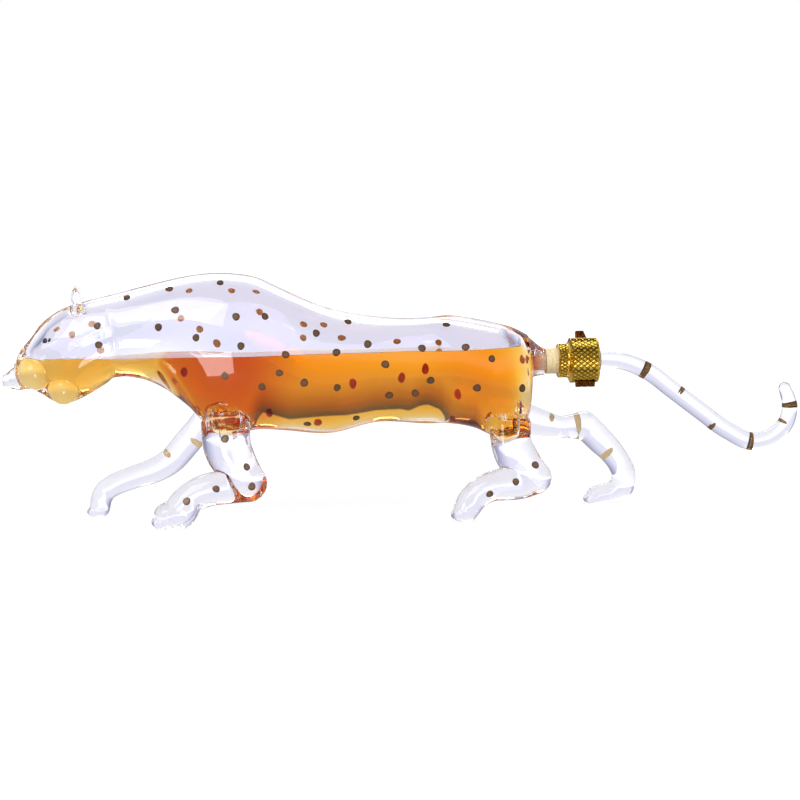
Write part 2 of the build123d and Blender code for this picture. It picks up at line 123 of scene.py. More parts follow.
# The trunk's sections: place along the body, top and bottom in WITHERS, width in TRUNK_WIDTH
BODY_STATIONS = np.array([
    (-0.034, 0.640, 0.556, 0.20), (-0.019, 0.688, 0.556, 0.26),
    (0.000, 0.726, 0.558, 0.33), (0.013, 0.756, 0.548, 0.40), (0.031, 0.806, 0.529, 0.48),
    (0.055, 0.847, 0.499, 0.55), (0.078, 0.874, 0.491, 0.60), (0.102, 0.888, 0.506, 0.63),
    (0.125, 0.902, 0.529, 0.65), (0.149, 0.912, 0.556, 0.67), (0.173, 0.922, 0.585, 0.68),
    (0.219, 0.946, 0.585, 0.72), (0.266, 0.969, 0.547, 0.78), (0.314, 0.989, 0.471, 0.87),
    (0.361, 1.000, 0.386, 0.95), (0.407, 0.998, 0.357, 1.00), (0.454, 0.981, 0.367, 1.00),
    (0.501, 0.937, 0.361, 0.97), (0.595, 0.851, 0.346, 0.90), (0.690, 0.812, 0.384, 0.83),
    (0.785, 0.806, 0.375, 0.83), (0.833, 0.812, 0.373, 0.87), (0.880, 0.798, 0.354, 0.90),
    (0.929, 0.776, 0.311, 0.90), (0.957, 0.760, 0.308, 0.83), (0.979, 0.739, 0.338, 0.72),
    (0.992, 0.721, 0.393, 0.58), (1.000, 0.701, 0.442, 0.43),
])
# The head's bulbs: place, distance out in half trunk widths, height, radius in CHEEK_DIAMETER
HEAD_BULBS = ((0.018, 0.17, 0.616, 0.54), (0.074, 0.22, 0.548, 0.48))
# An eye: place along the body and height in WITHERS
EYE = (0.0425, 0.748)
# The swellings over the legs: place, distance out in half stances, height, radius, half height
HIPS = ((0.389, -0.51, 0.396, 12.0, 12.5), (0.948, -0.52, 0.372, 10.5, 13.5))
# The legs' centre lines: place, distance out in half stances, height, radius in LEG_DIAMETER
LEG_RUNS = {
    "front_left": (
        ((0.387, -0.48, 0.412, 0.74), (0.390, -0.56, 0.318, 0.74), (0.403, -0.63, 0.251, 0.68),
         (0.419, -0.71, 0.196, 0.62), (0.429, -0.78, 0.169, 0.585)),
        ((0.429, -0.78, 0.169, 0.585), (0.390, -0.85, 0.158, 0.52), (0.351, -0.89, 0.149, 0.505),
         (0.316, -0.92, 0.118, 0.475), (0.291, -0.92, 0.060, 0.515), (0.272, -0.92, 0.049, 0.425)),
    ),
    "front_right": (
        ((0.366, 0.30, 0.450, 0.46), (0.337, 0.46, 0.370, 0.43), (0.308, 0.57, 0.301, 0.43),
         (0.279, 0.66, 0.234, 0.415), (0.244, 0.74, 0.192, 0.395), (0.203, 0.83, 0.164, 0.365),
         (0.169, 0.92, 0.138, 0.35), (0.144, 1.02, 0.108, 0.335)),
        ((0.144, 1.02, 0.108, 0.335), (0.134, 1.02, 0.072, 0.335), (0.131, 1.02, 0.036, 0.32)),
    ),
    "rear_left": (
        ((0.948, -0.48, 0.400, 0.65), (0.948, -0.55, 0.310, 0.63), (0.957, -0.61, 0.250, 0.645),
         (0.972, -0.68, 0.203, 0.60), (0.992, -0.74, 0.160, 0.52)),
        ((0.992, -0.74, 0.160, 0.52), (0.962, -0.81, 0.145, 0.52), (0.929, -0.87, 0.141, 0.505),
         (0.901, -0.92, 0.132, 0.46), (0.872, -0.96, 0.099, 0.425), (0.856, -0.96, 0.056, 0.41),
         (0.853, -0.96, 0.045, 0.395)),
    ),
    "rear_right": (
        ((0.985, 0.48, 0.370, 0.55), (1.032, 0.54, 0.344, 0.445), (1.062, 0.59, 0.333, 0.355),
         (1.086, 0.64, 0.333, 0.385), (1.114, 0.69, 0.334, 0.475)),
        ((1.120, 0.69, 0.328, 0.44), (1.148, 0.74, 0.270, 0.43), (1.169, 0.79, 0.226, 0.40),
         (1.187, 0.85, 0.178, 0.38), (1.199, 0.90, 0.121, 0.385), (1.197, 0.95, 0.069, 0.385)),
        ((1.197, 0.95, 0.069, 0.385), (1.177, 1.00, 0.047, 0.32), (1.152, 1.00, 0.036, 0.305),
         (1.142, 1.00, 0.032, 0.29)),
    ),
}
# The tail's centre line: shares of its reach and of its drop, and radius in its diameter
TAIL_STATIONS = (
    (0.102, 0.019, 0.472), (0.227, 0.132, 0.490), (0.364, 0.374, 0.490), (0.505, 0.629, 0.500),
    (0.647, 0.875, 0.500), (0.759, 1.000, 0.500), (0.851, 0.970, 0.482), (0.939, 0.797, 0.455),
    (0.959, 0.585, 0.436), (0.934, 0.382, 0.345),
)
# The enamel spots: place along the body and height in WITHERS
LEFT_SPOTS = (
    (0.145, 0.805), (0.147, 0.730), (0.202, 0.913), (0.285, 0.944), (0.384, 0.965),
    (0.263, 0.796), (0.296, 0.862), (0.335, 0.753), (0.413, 0.833), (0.469, 0.831),
    (0.421, 0.718), (0.507, 0.679), (0.568, 0.759), (0.632, 0.800), (0.606, 0.682),
    (0.668, 0.711), (0.825, 0.780), (0.774, 0.690), (0.859, 0.691), (0.389, 0.600),
    (0.494, 0.607), (0.542, 0.565), (0.548, 0.393), (0.644, 0.412), (0.701, 0.630),
    (0.759, 0.511), (0.789, 0.562), (0.879, 0.529), (0.909, 0.644), (0.970, 0.521),
    (0.460, 0.553), (0.606, 0.542), (0.708, 0.505),
)
RIGHT_SPOTS = (
    (0.128, 0.806), (0.142, 0.696), (0.086, 0.764), (0.055, 0.800), (0.321, 0.941),
    (0.407, 0.934), (0.457, 0.932), (0.302, 0.816), (0.341, 0.765), (0.462, 0.833),
    (0.376, 0.706), (0.549, 0.790), (0.546, 0.730), (0.590, 0.795), (0.625, 0.732),
    (0.734, 0.706), (0.821, 0.695), (0.384, 0.471), (0.572, 0.429), (0.790, 0.584),
    (0.845, 0.437), (0.860, 0.511), (0.933, 0.437), (0.741, 0.562), (0.640, 0.546),
    (0.478, 0.471), (0.320, 0.622), (0.975, 0.592),
)
LEG_SPOTS = {
    "front_left": ((0.386, 0.353), (0.427, 0.240), (0.436, 0.164), (0.367, 0.160), (0.310, 0.115)),
    "front_right": ((0.326, 0.318), (0.277, 0.250), (0.133, 0.138)),
    "rear_left": ((0.948, 0.438), (0.990, 0.218), (0.949, 0.156), (0.897, 0.111)),
    "rear_right": ((1.042, 0.358), (1.105, 0.334), (1.152, 0.306), (1.166, 0.222), (1.180, 0.146)),
}
# The lower edge of the painted shade in the liquor over the bright rim, along the belly: X and height
BELLY_LINE = np.array([
    (-116.0, 30.0), (-93.0, 66.0), (-89.7, 69.5), (-73.2, 65.6), (-60.8, 66.0), (-39.2, 66.6),
    (-20.5, 69.3), (-5.0, 69.6), (1.2, 68.8), (7.4, 71.2), (12.4, 71.7), (19.8, 69.0), (24.1, 64.6),
    (29.0, 60.1), (42.1, 57.3), (58.0, 30.0),
])


class Side(Enum):
    """The two sides of the animal, as the sign of Y."""

    LEFT = -1
    RIGHT = 1


class Cover(Enum):
    """How much of the tail's round an enamel mark covers."""

    ROUND = "round"
    UPPER = "upper"
    LOWER = "lower"


def along_body(share: float) -> float:
    """X of a place given as a share of the body's length from its front."""
    return FRONT_X + share * BODY_LENGTH


def linear(code: str) -> Colour:
    """Turns an sRGB hex colour to linear red, green, blue and full alpha.

    Args:
        code: six hex digits.

    Returns:
        The colour as Blender's sockets take it.
    """
    parts = [int(code[start:start + 2], 16) / 255 for start in (0, 2, 4)]
    curve = [c / 12.92 if c <= 0.04045 else ((c + 0.055) / 1.055) ** 2.4 for c in parts]
    return (*curve, 1.0)


def hermite(stations: Array, values: Array, at: Array) -> Array:
    """A smooth curve through stations: a cubic between each two, its slope at a station the mean
    of the slopes either side, weighted by the other side's length.

    Args:
        stations: rising places.
        values: one value, or one row of values, for each station.
        at: the places asked for.

    Returns:
        The values there.
    """
    values = np.asarray(values, float)
    flat = values.ndim == 1
    table = values[:, None] if flat else values
    gap = np.diff(stations)[:, None]
    rise = np.diff(table, axis=0) / gap
    inner = (rise[:-1] * gap[1:] + rise[1:] * gap[:-1]) / (gap[:-1] + gap[1:])
    slope = np.vstack([rise[:1], inner, rise[-1:]])
    place = np.clip(at, stations[0], stations[-1])
    index = np.clip(np.searchsorted(stations, place, side="right") - 1, 0, len(stations) - 2)
    span = gap[index]
    t = ((place - stations[index])[..., None]) / span
    result = (
        (2 * t**3 - 3 * t**2 + 1) * table[index]
        + (t**3 - 2 * t**2 + t) * span * slope[index]
        + (3 * t**2 - 2 * t**3) * table[index + 1]
        + (t**3 - t**2) * span * slope[index + 1]
    )
    return result[..., 0] if flat else result


def soft_union(first: Array, second: Array, width: float) -> Array:
    """The lesser of two distances, rounded by a parabola where they differ by less than width."""
    share = np.maximum(width - np.abs(first - second), 0) / width
    return np.minimum(first, second) - share * share * width / 4


def step(low: float, high: float, value: Array) -> Array:
    """A smooth rise from 0 at low to 1 at high."""
    t = np.clip((value - low) / (high - low), 0, 1)
    return t * t * (3 - 2 * t)


def outward(distance: Callable[[Array], Array], reach: Array) -> Array:
    """Finds where rays that start inside a form leave it, by halving between 0 and the reach.

    Args:
        distance: gives the form's distance for the rays' lengths, below 0 inside.
        reach: the longest length of each ray.

    Returns:
        Each ray's length at the form's surface, 0 where the ray starts outside.
    """
    low, high = np.zeros_like(reach), reach.astype(float).copy()
    for _ in range(HALVINGS):
        middle = (low + high) / 2
        inside = distance(middle) < 0
        low, high = np.where(inside, middle, low), np.where(inside, high, middle)
    return low


def spaced(start: float, end: float, count: int, dense: Sequence[Triple]) -> Array:
    """Places from start to end, closer together near some of them.

    Args:
        start: the first place.
        end: the last place.
        count: how many places.
        dense: the centre, the width and the strength of each stretch with closer places.

    Returns:
        The places: equal steps of the running sum of 1 plus a bell for each stretch.
    """
    fine = np.linspace(start, end, SUM_STEPS)
    weight = np.ones_like(fine)
    for centre, width, strength in dense:
        weight += strength * np.exp(-(((fine - centre) / width) ** 2))
    total = np.concatenate([[0], np.cumsum((weight[1:] + weight[:-1]) / 2)])
    return np.interp(np.linspace(0, total[-1], count), total, fine)


def round_angles(count: int) -> Array:
    """Even angles round a circle."""
    return np.arange(count) / count * 2 * np.pi


def gathered_angles(count: int) -> Array:
    """Angles round the glass that lie closer together near its top and its bottom."""
    angle = round_angles(count)
    return angle + 0.2 * np.sin(2 * angle)


def running_length(points: Array) -> Array:
    """How far along a path each of its points lies."""
    return np.concatenate([[0], np.cumsum(np.linalg.norm(np.diff(points, axis=0), axis=1))])


def unit(vectors: Array) -> Array:
    """Vectors in the same directions with a length of 1."""
    return vectors / np.linalg.norm(vectors, axis=-1)[..., None]


def grid_faces(rows: int, columns: int) -> Array:
    """Four-sided faces between the rows of a grid whose columns close on themselves.

    Args:
        rows: how many rows.
        columns: points in a row.

    Returns:
        The numbers of each face's corners.
    """
    row, column = np.meshgrid(np.arange(rows - 1), np.arange(columns), indexing="ij")
    after = (column + 1) % columns
    corners = [row * columns + column, row * columns + after,
               (row + 1) * columns + after, (row + 1) * columns + column]
    return np.stack(corners, -1).reshape(-1, 4)


def closed_grid(points: Array) -> Shape:
    """A grid that is closed round its columns and by a fan at its first and last row.

    Args:
        points: rows, columns and three coordinates in millimetres.

    Returns:
        The points in one list, with the two fans' middles, and the faces.
    """
    rows, columns = points.shape[:2]
    flat = points.reshape(-1, 3)
    middles = np.stack([points[0].mean(0), points[-1].mean(0)])
    ring = np.arange(columns)
    after = (ring + 1) % columns
    first = np.stack([np.full(columns, len(flat)), after, ring], -1)
    base = (rows - 1) * columns
    last = np.stack([np.full(columns, len(flat) + 1), base + ring, base + after], -1)
    faces = grid_faces(rows, columns).tolist() + first.tolist() + last.tolist()
    return np.vstack([flat, middles]), faces


def ring_grid(points: Array) -> Shape:
    """A grid closed both ways, for a ring turned from a closed profile."""
    rows, columns = points.shape[:2]
    return points.reshape(-1, 3), (grid_faces(rows + 1, columns) % (rows * columns)).tolist()


def join(parts: Sequence[Shape]) -> Shape:
    """Puts several lists of points and faces into one.

    Args:
        parts: the points and faces of each part.

    Returns:
        All the points, and the faces numbered for them.
    """
    points, faces, base = [], [], 0
    for part_points, part_faces in parts:
        points.append(part_points)
        faces += [[index + base for index in face] for face in part_faces]
        base += len(part_points)
    return np.vstack(points), faces


def add_node(tree: NodeTree, kind: str, settings: Optional[dict] = None, links: Optional[dict] = None,
             stops: Sequence[tuple[float, str]] = (), **attributes: object) -> Node:
    """Adds a node with its sockets' values, its links and its own settings.

    Args:
        tree: the node tree.
        kind: the node's type, less the word ShaderNode.
        settings: a value for each named or numbered input.
        links: for an input, the node and the name or number of the output that feeds it.
        stops: the places and hex colours of its ramp, where it has one.
        attributes: the node's own settings.

    Returns:
        The node.
    """
    node = tree.nodes.new("ShaderNode" + kind)
    for name, value in attributes.items():
        setattr(node, name, value)
    for name, value in (settings or {}).items():
        node.inputs[name].default_value = value
    for name, (source, output) in (links or {}).items():
        tree.links.new(source.outputs[output], node.inputs[name])
    elements = node.color_ramp.elements if stops else ()
    while len(elements) < len(stops):
        elements.new(1.0)
    for element, (place, code) in zip(elements, stops):
        element.position = place
        element.color = linear(code)
    return node


def cleared_tree(owner: ID) -> NodeTree:
    """The emptied node tree of a material or of the world."""
    owner.use_nodes = True
    owner.node_tree.nodes.clear()
    return owner.node_tree


def per_grain(grain_mm: float) -> float:
    """The scale at which a pattern's lumps are about grain_mm across."""
    return 1 / (grain_mm * MILLIMETRE)


class Finish:
    """A finish: it makes one Blender material and keeps it for all its pieces."""

    title = "finish"
    slot = "clear_glass"

    def material(self) -> Material:
        """The material, made once.

        Returns:
            The material that has the finish's title.
        """
        found = bpy.data.materials.get(self.title)
        if found is None:
            found = bpy.data.materials.new(self.title)
            add = partial(add_node, cleared_tree(found))
            add("OutputMaterial", None, self.build(add, add("TexCoord")))
        return found

    def build(self, add: Adder, place: Node) -> Feeds:
        """Adds the finish's own nodes and gives what feeds the material's output."""
        raise NotImplementedError


@dataclass(frozen=True)
class ClearGlass(Finish):
    """Borosilicate glass blown and drawn at the lamp: clear, faintly lavender, with slow ripples."""

    title: str = "borosilicate_glass"
    slot: str = "clear_glass"
    tint: str = "FBFBFF"
    ior: float = 1.47
    ripple_mm: float = 9.0
    ripple_depth_mm: float = 0.05
    haze: float = 0.03
    haze_mm: float = 2.0

    def build(self, add: Adder, place: Node) -> Feeds:
        """Lampworked glass shows its slow ripples as bent highlights, and nearly no haze.

        Args:
            add: adds a node to the material.
            place: its Texture Coordinate node.

        Returns:
            The glass, for the surface.
        """
        ripple = add("TexNoise", {"Scale": per_grain(self.ripple_mm), "Detail": 1.0},
                     {"Vector": (place, "Object")})
        bump = add("Bump", {"Strength": 1.0, "Distance": self.ripple_depth_mm * MILLIMETRE},
                   {"Height": (ripple, 0)})
        haze = add("TexNoise", {"Scale": per_grain(self.haze_mm), "Detail": 3.0},
                   {"Vector": (place, "Object")})
        rough = add("MapRange", {"From Min": 0.45, "From Max": 0.8, "To Min": 0.0, "To Max": self.haze},
                    {"Value": (haze, 0)})
        shader = add("BsdfPrincipled",
                     {"Base Color": linear(self.tint), "IOR": self.ior, "Transmission Weight": 1.0},
                     {"Normal": (bump, 0), "Roughness": (rough, 0)})
        return {"Surface": (shader, 0)}


@dataclass(frozen=True)
class AmberLiquor(Finish):
    """Spirit coloured with caramel: golden where it is thin and a deep orange where it is thick.

    Two attributes of the liquor's surface steer it: "rise", 0.5 on the belly line and one more for
    each 40 mm above it, and "chest", 1 where the chest reddens it. "rise" sets a painted shade:
    on the near side the liquor is painted dark just above the belly line, fading out upwards, and
    is left clear below it. The hue is what the volume lets through of linear red, green and blue.
    """

    title: str = "amber_spirit"
    slot: str = "amber_liquor"
    ior: float = 1.001
    hue: Colour = (0.985, 0.765, 0.02, 1.0)
    density: float = 112.0
    chest: str = "E8A440"
    swirl_mm: float = 14.0
    swirl_depth_mm: float = 0.04
    near_metres: float = 0.002

    def build(self, add: Adder, place: Node) -> Feeds:
        """The colour comes from the depth of liquid that the light has crossed, and from a painted
        shade above the belly line on the near side.

        Args:
            add: adds a node to the material.
            place: its Texture Coordinate node.

        Returns:
            The liquor's surface and what it absorbs inside.
        """
        swirl = add("TexNoise", {"Scale": per_grain(self.swirl_mm), "Detail": 1.0},
                    {"Vector": (place, "Object")})
        bump = add("Bump", {"Strength": 1.0, "Distance": self.swirl_depth_mm * MILLIMETRE},
                   {"Height": (swirl, 0)})
        # Painted shade: the near side is painted dark just above the belly line, fading out higher up
        rise = add("Attribute", attribute_name="rise")
        belly = add("ValToRGB", None, {0: (rise, "Fac")}, stops=(
            (0.0, WHITE), (0.49, "FFFCEC"), (0.51, "2E30A0"), (0.55, "44407C"), (0.63, "80587C"),
            (0.75, "B89284"), (0.98, WHITE),
        ))
        axes = add("SeparateXYZ", None, {0: (place, "Object")})
        near = add("MapRange", {"From Min": self.near_metres, "From Max": -self.near_metres},
                   {"Value": (axes, "Y")})
        dark = add("Mix", {FIRST: linear(WHITE)}, {FACTOR: (near, 0), SECOND: (belly, 0)}, **RGBA)
        chest = add("Attribute", attribute_name="chest")
        deep = add("Mix", {FIRST: linear(WHITE), SECOND: linear(self.chest)}, {FACTOR: (chest, "Fac")},
                   **RGBA)
        shade = add("Mix", {FACTOR: 1.0}, {FIRST: (dark, MIXED), SECOND: (deep, MIXED)},
                    blend_type="MULTIPLY", **RGBA)
        shader = add("BsdfPrincipled", {"IOR": self.ior, "Transmission Weight": 1.0, "Roughness": 0.0},
                     {"Normal": (bump, 0), "Base Color": (shade, MIXED)})
        volume = add("VolumeAbsorption", {"Color": self.hue, "Density": self.density})
        return {"Surface": (shader, 0), "Volume": (volume, 0)}


@dataclass(frozen=True)
class Coated(Finish):
    """An opaque finish: two colours mottled at a grain's size, with its own sheen."""

    title: str = "coating"
    slot: str = "gilt_enamel"
    dark: str = "5A4020"
    pale: str = "9A7440"
    grain_mm: float = 0.8
    metallic: float = 0.0
    smooth: float = 0.3
    dull: float = 0.5
    relief_mm: float = 0.02
    groove: Optional[str] = None
    shaded_by: str = "relief"
    stretch: Triple = (1.0, 1.0, 1.0)

    def build(self, add: Adder, place: Node) -> Feeds:
        """Mottling sets the colour and the gloss together, as thick and thin places do.

        Args:
            add: adds a node to the material.
            place: its Texture Coordinate node.

        Returns:
            The coating, for the surface.
        """
        stretched = add("Mapping", {"Scale": self.stretch}, {"Vector": (place, "Object")})
        grain = add("TexNoise", {"Scale": per_grain(self.grain_mm), "Detail": 5.0, "Roughness": 0.6},
                    {"Vector": (stretched, 0)})
        mottled = add("ValToRGB", None, {"Fac": (grain, 0)},
                      stops=((0.36, self.dark), (0.64, self.pale)))
        colour = (mottled, 0)
        # A second colour mixed in by an attribute: painted shade in the brass's grooves, painted light
        # on the enamel's back towards the glass, and the cork's stain from the spirit
        if self.groove is not None:
            share = add("Attribute", attribute_name=self.shaded_by)
            grooved = add("Mix", {FIRST: linear(self.groove)}, {FACTOR: (share, "Fac"), SECOND: colour},
                          **RGBA)
            colour = (grooved, MIXED)
        rough = add("MapRange",
                    {"From Min": 0.35, "From Max": 0.65, "To Min": self.smooth, "To Max": self.dull},
                    {"Value": (grain, 0)})
        bump = add("Bump", {"Strength": 1.0, "Distance": self.relief_mm * MILLIMETRE},
                   {"Height": (grain, 0)})
        shader = add("BsdfPrincipled", {"Metallic": self.metallic},
                     {"Base Color": colour, "Roughness": (rough, 0), "Normal": (bump, 0)})
        return {"Surface": (shader, 0)}


GLASS = ClearGlass()
# The glass's inside where the liquor wets it: light bends only by glass against liquor, 1.47 to 1.36
WET_GLASS = ClearGlass(title="wetted_glass", ior=1.08)
# Where solid glass is melted onto the blown wall, light passes straight from one to the other
WELD_GLASS = ClearGlass(title="melted_glass_weld", tint=WHITE, ior=1.001, ripple_depth_mm=0.0, haze=0.0)
SPIRIT = AmberLiquor()
# The liquor's skin against the air, a film that mirrors what comes in flat
SKIN = ClearGlass(title="liquor_skin", tint="FFE9C8", ior=1.36, ripple_depth_mm=0.01, haze=0.0)
# Fired gilt paste: brown with paler gold flecks outside. Its back towards the glass is painted
# bright orange gold: painted light, for the light that reaches it through the glass
GILT_ENAMEL = Coated(
    title="fired_gilt_enamel", dark="22150F", pale="523B28", metallic=0.1, groove="FFB060",
    shaded_by="outer",
)
# The same paste on the solid legs. Its back towards the glass is painted pale gold: painted light,
# for the light that the glass behind sends into it
LEG_ENAMEL = Coated(
    title="leg_gilt_enamel", dark="38241A", pale="745038", metallic=0.1, groove="F2D49A",
    shaded_by="outer",
)
TAIL_ENAMEL = Coated(title="tail_gilt_enamel", dark="4A3216", pale="A67C42", metallic=0.45)
# Black glass enamel: nearly even and glossy, so the eye shows one small highlight
BLACK_ENAMEL = Coated(
    title="black_glass_enamel", slot="black_enamel", dark="050505", pale="141210",
    smooth=0.22, dull=0.34, relief_mm=0.004,
)
# Cream composition cork: pale and dry, with fine darker crumbs, and stained by the spirit inside
CORK = Coated(
    title="cream_cork", slot="cork", dark="E6C888", pale="FFF0C8", grain_mm=0.9, smooth=0.6,
    dull=0.8, relief_mm=0.05, groove="F06E24", shaded_by="dry",
)
# Turned cream resin: even, dull, seen only with the stopper pulled and the collar open
CREAM_RESIN = Coated(
    title="turned_cream_resin", slot="cream_resin", dark="D8C8A4", pale="E6DABB", grain_mm=2.0,
    smooth=0.45, dull=0.6, relief_mm=0.01, stretch=(6.0, 1.0, 1.0),
)
# Gilt cast brass: bright yellow facets, and olive brown painted into the grooves as shade
GILT_BRASS = Coated(
    title="gilt_cast_brass", slot="gilt_brass", dark="F0BC2C", pale="FFE270", grain_mm=2.5,
    metallic=1.0, smooth=0.12, dull=0.26, relief_mm=0.01, groove="86600E",
)
# Bronzed brass: reddish brown and rubbed paler
DARK_BRASS = Coated(
    title="bronzed_brass", slot="dark_brass", dark="4E2408", pale="8E5220", grain_mm=1.6,
    metallic=1.0, smooth=0.2, dull=0.38, relief_mm=0.02,
)
# Grey rubber washer: matt with a fine bloom
GREY_RUBBER = Coated(
    title="grey_rubber", slot="grey_rubber", dark="77757A", pale="A3A1A8", grain_mm=0.7,
    smooth=0.55, dull=0.75, relief_mm=0.02,
)


def new_object(name: str, data: ID) -> Object:
    """An object in the scene that shows some data."""
    made = bpy.data.objects.new(name, data)
    bpy.context.scene.collection.objects.link(made)
    return made


def new_mesh(name: str, shape: Shape, shares: Optional[dict[str, Array]] = None) -> Mesh:
    """A mesh in metres from points in millimetres and faces.

    Args:
        name: the mesh's name.
        shape: its points and faces.
        shares: the points' values of each attribute.

    Returns:
        The mesh.
    """
    points, faces = shape
    mesh = bpy.data.meshes.new(name)
    mesh.from_pydata((points * MILLIMETRE).tolist(), [], faces)
    for title, values in (shares or {}).items():
        attribute = mesh.attributes.new(title, "FLOAT", "POINT")
        attribute.data.foreach_set("value", values.astype(np.float32))
    return mesh


@contextmanager
def opened(mesh: Mesh) -> Iterator[bmesh.types.BMesh]:
    """Opens a mesh for changes, and puts it back with its faces turned outwards.

    Args:
        mesh: the mesh.

    Returns:
        The opened mesh.
    """
    work = bmesh.new()
    work.from_mesh(mesh)
    yield work
    bmesh.ops.recalc_face_normals(work, faces=work.faces)
    work.to_mesh(mesh)
    work.free()


def read(items: bpy.types.bpy_prop_collection, name: str, width: int = 3, kind: type = float) -> Array:
    """Reads one property of every point, face or corner of a mesh.

    Args:
        items: the points, faces or corners.
        name: the property.
        width: how many numbers it has.
        kind: what they are.

    Returns:
        A row of numbers for each item, or one number for each where the width is 1.
    """
    values = np.empty(len(items) * width, kind)
    items.foreach_get(name, values)
    return values.reshape(-1, width) if width > 1 else values


def dress(mesh: Mesh, finish: Finish) -> None:
    """Gives the whole of a mesh one finish."""
    mesh.materials.clear()
    mesh.materials.append(finish.material())


def declare(piece: Object, finish: Finish, body: str, stands_for: Sequence[str] = ()) -> Object:
    """Dresses a piece, tells the frame what it is, and reports it.

    Args:
        piece: the piece.
        finish: what it is made of.
        body: the CAD body that it rides on.
        stands_for: the CAD nodes that it replaces.

    Returns:
        The piece.
    """
    mesh = piece.data
    dress(mesh, finish)
    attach(piece, body)
    if stands_for:
        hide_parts(*stands_for)
    LOG.info("%s: %d points, %d faces", piece.name, len(mesh.vertices), len(mesh.polygons))
    return piece


def make_piece(name: str, shape: Shape, finish: Finish, body: str, stands_for: Sequence[str] = (),
               crisp: Optional[float] = None, shares: Optional[dict[str, Array]] = None) -> Object:
    """Makes a finished piece from points in millimetres and faces.

    Args:
        name: the piece's name.
        shape: its points and faces.
        finish: what it is made of.
        body: the CAD body that it rides on.
        stands_for: the CAD nodes that it replaces.
        crisp: the angle in degrees past which an edge stays sharp; none shades all smooth.
        shares: the points' values of each attribute that its finish reads.

    Returns:
        The object.
    """
    mesh = new_mesh(name, shape, shares)
    with opened(mesh) as work:
        bmesh.ops.remove_doubles(work, verts=work.verts, dist=MERGE_LIMIT)
        bmesh.ops.dissolve_degenerate(work, edges=work.edges, dist=EDGE_LIMIT)
    mesh.shade_smooth()
    if crisp is not None:
        mesh.set_sharp_from_angle(angle=math.radians(crisp))
    return declare(new_object(name, mesh), finish, body, stands_for)


def paint(piece: Object, finish: Finish, chosen: Array) -> None:
    """Gives some faces of a piece a finish of their own.

    Args:
        piece: the piece.
        finish: what those faces are made of.
        chosen: whether each face is one of them.
    """
    mesh = piece.data
    mesh.materials.append(finish.material())
    index = read(mesh.polygons, "material_index", 1, np.int32)
    index[chosen] = len(mesh.materials) - 1
    mesh.polygons.foreach_set("material_index", index)
    mesh.update()


def face_centres(piece: Object) -> Array:
    """The middles of a piece's faces in millimetres."""
    return read(piece.data.polygons, "center") / MILLIMETRE


def weld(body: Object, added: Object) -> None:
    """Lets light straight through where a solid piece of glass is melted onto the blown wall.

    Args:
        body: the blown glass.
        added: the solid piece, whose hidden end lies just under the wall's surface.
    """
    paint(added, WELD_GLASS, OUTSIDE.distance(face_centres(added)) < -WELD_DEPTH)
    tree = BVHTree.FromObject(added, bpy.context.evaluated_depsgraph_get())
    mesh = body.data
    points, solid = read(mesh.vertices, "co"), read(added.data.vertices, "co")
    near = ((points > solid.min(0)) & (points < solid.max(0))).all(1)
    inside = np.zeros(len(points), bool)
    for index in np.flatnonzero(near):
        place, normal, _, _ = tree.find_nearest(Vector(points[index]))
        inside[index] = (Vector(points[index]) - place).dot(normal) < 0
    corners = read(mesh.loops, "vertex_index", 1, np.int32)
    start = read(mesh.polygons, "loop_start", 1, np.int32)
    paint(body, WELD_GLASS, np.logical_and.reduceat(inside[corners], start))


def settle(piece: Object) -> None:
    """Puts the result of a piece's modifiers into its mesh and removes them.

    Args:
        piece: the piece.
    """
    graph = bpy.context.evaluated_depsgraph_get()
    mesh = bpy.data.meshes.new_from_object(piece.evaluated_get(graph))
    old = piece.data
    piece.modifiers.clear()
    piece.data = mesh
    bpy.data.meshes.remove(old)


def wrapped(points: Array, target: Object, across: bool) -> Array:
    """Lays points on a piece with Blender's Shrinkwrap.

    Args:
        points: places in millimetres.
        target: the piece that they are laid on.
        across: along Y to the first surface met from outside, or else to the nearest surface.

    Returns:
        The points on the surface, in millimetres.
    """
    mesh = new_mesh("laid_points", (points, []))
    cloud = new_object("laid_points", mesh)
    wrap = cloud.modifiers.new("wrap", "SHRINKWRAP")
    wrap.target = target
    wrap.wrap_method = "PROJECT" if across else "NEAREST_SURFACEPOINT"
    if across:
        wrap.use_project_y = True
        wrap.use_negative_direction = True
        wrap.use_positive_direction = True
    graph = bpy.context.evaluated_depsgraph_get()
    laid = read(cloud.evaluated_get(graph).data.vertices, "co") / MILLIMETRE
    bpy.data.objects.remove(cloud)
    bpy.data.meshes.remove(mesh)
    return laid


# Slow waves of the blown wall: depth, and the length in which each comes round along X and Z
WAVES = ((0.16, 11.0, 17.0), (0.12, -23.0, 8.0))
# Swells, and hollows above 0, of the head and the coat: depth, the middle's X and Z, the reaches
HEAD_SWELLS = ((-0.8, -212.0, 128.0, 8.0, 4.5), (0.8, -221.5, 115.5, 4.5, 4.5))
COAT_SWELLS = ((-1.6, -108.0, 120.0, 17.0, 17.0), (1.3, -62.0, 112.0, 14.0, 15.0),
               (-2.0, 52.0, 84.0, 18.0, 22.0))


def swells(table: Sequence[tuple[float, ...]], x: Array, z: Array) -> Array:
    """The sum of a table's swells, each a bell round its middle.

    Args:
        table: depth, the middle's X and Z, and the reach along each.
        x: places along the body.
        z: heights.

    Returns:
        The depth there.
    """
    return sum(
        depth * np.exp(-(((x - middle_x) / reach_x) ** 2) - ((z - middle_z) / reach_z) ** 2)
        for depth, middle_x, middle_z, reach_x, reach_z in table
    )


def crease(depth: float, across: Array, width: float, z: Array, foot: Pair, top: Pair) -> Array:
    """A groove, or a ridge below 0: a bell across its line that fades in at foot and out at top."""
    return depth * np.exp(-((across / width) ** 2)) * step(*foot, z) * step(*top, z)


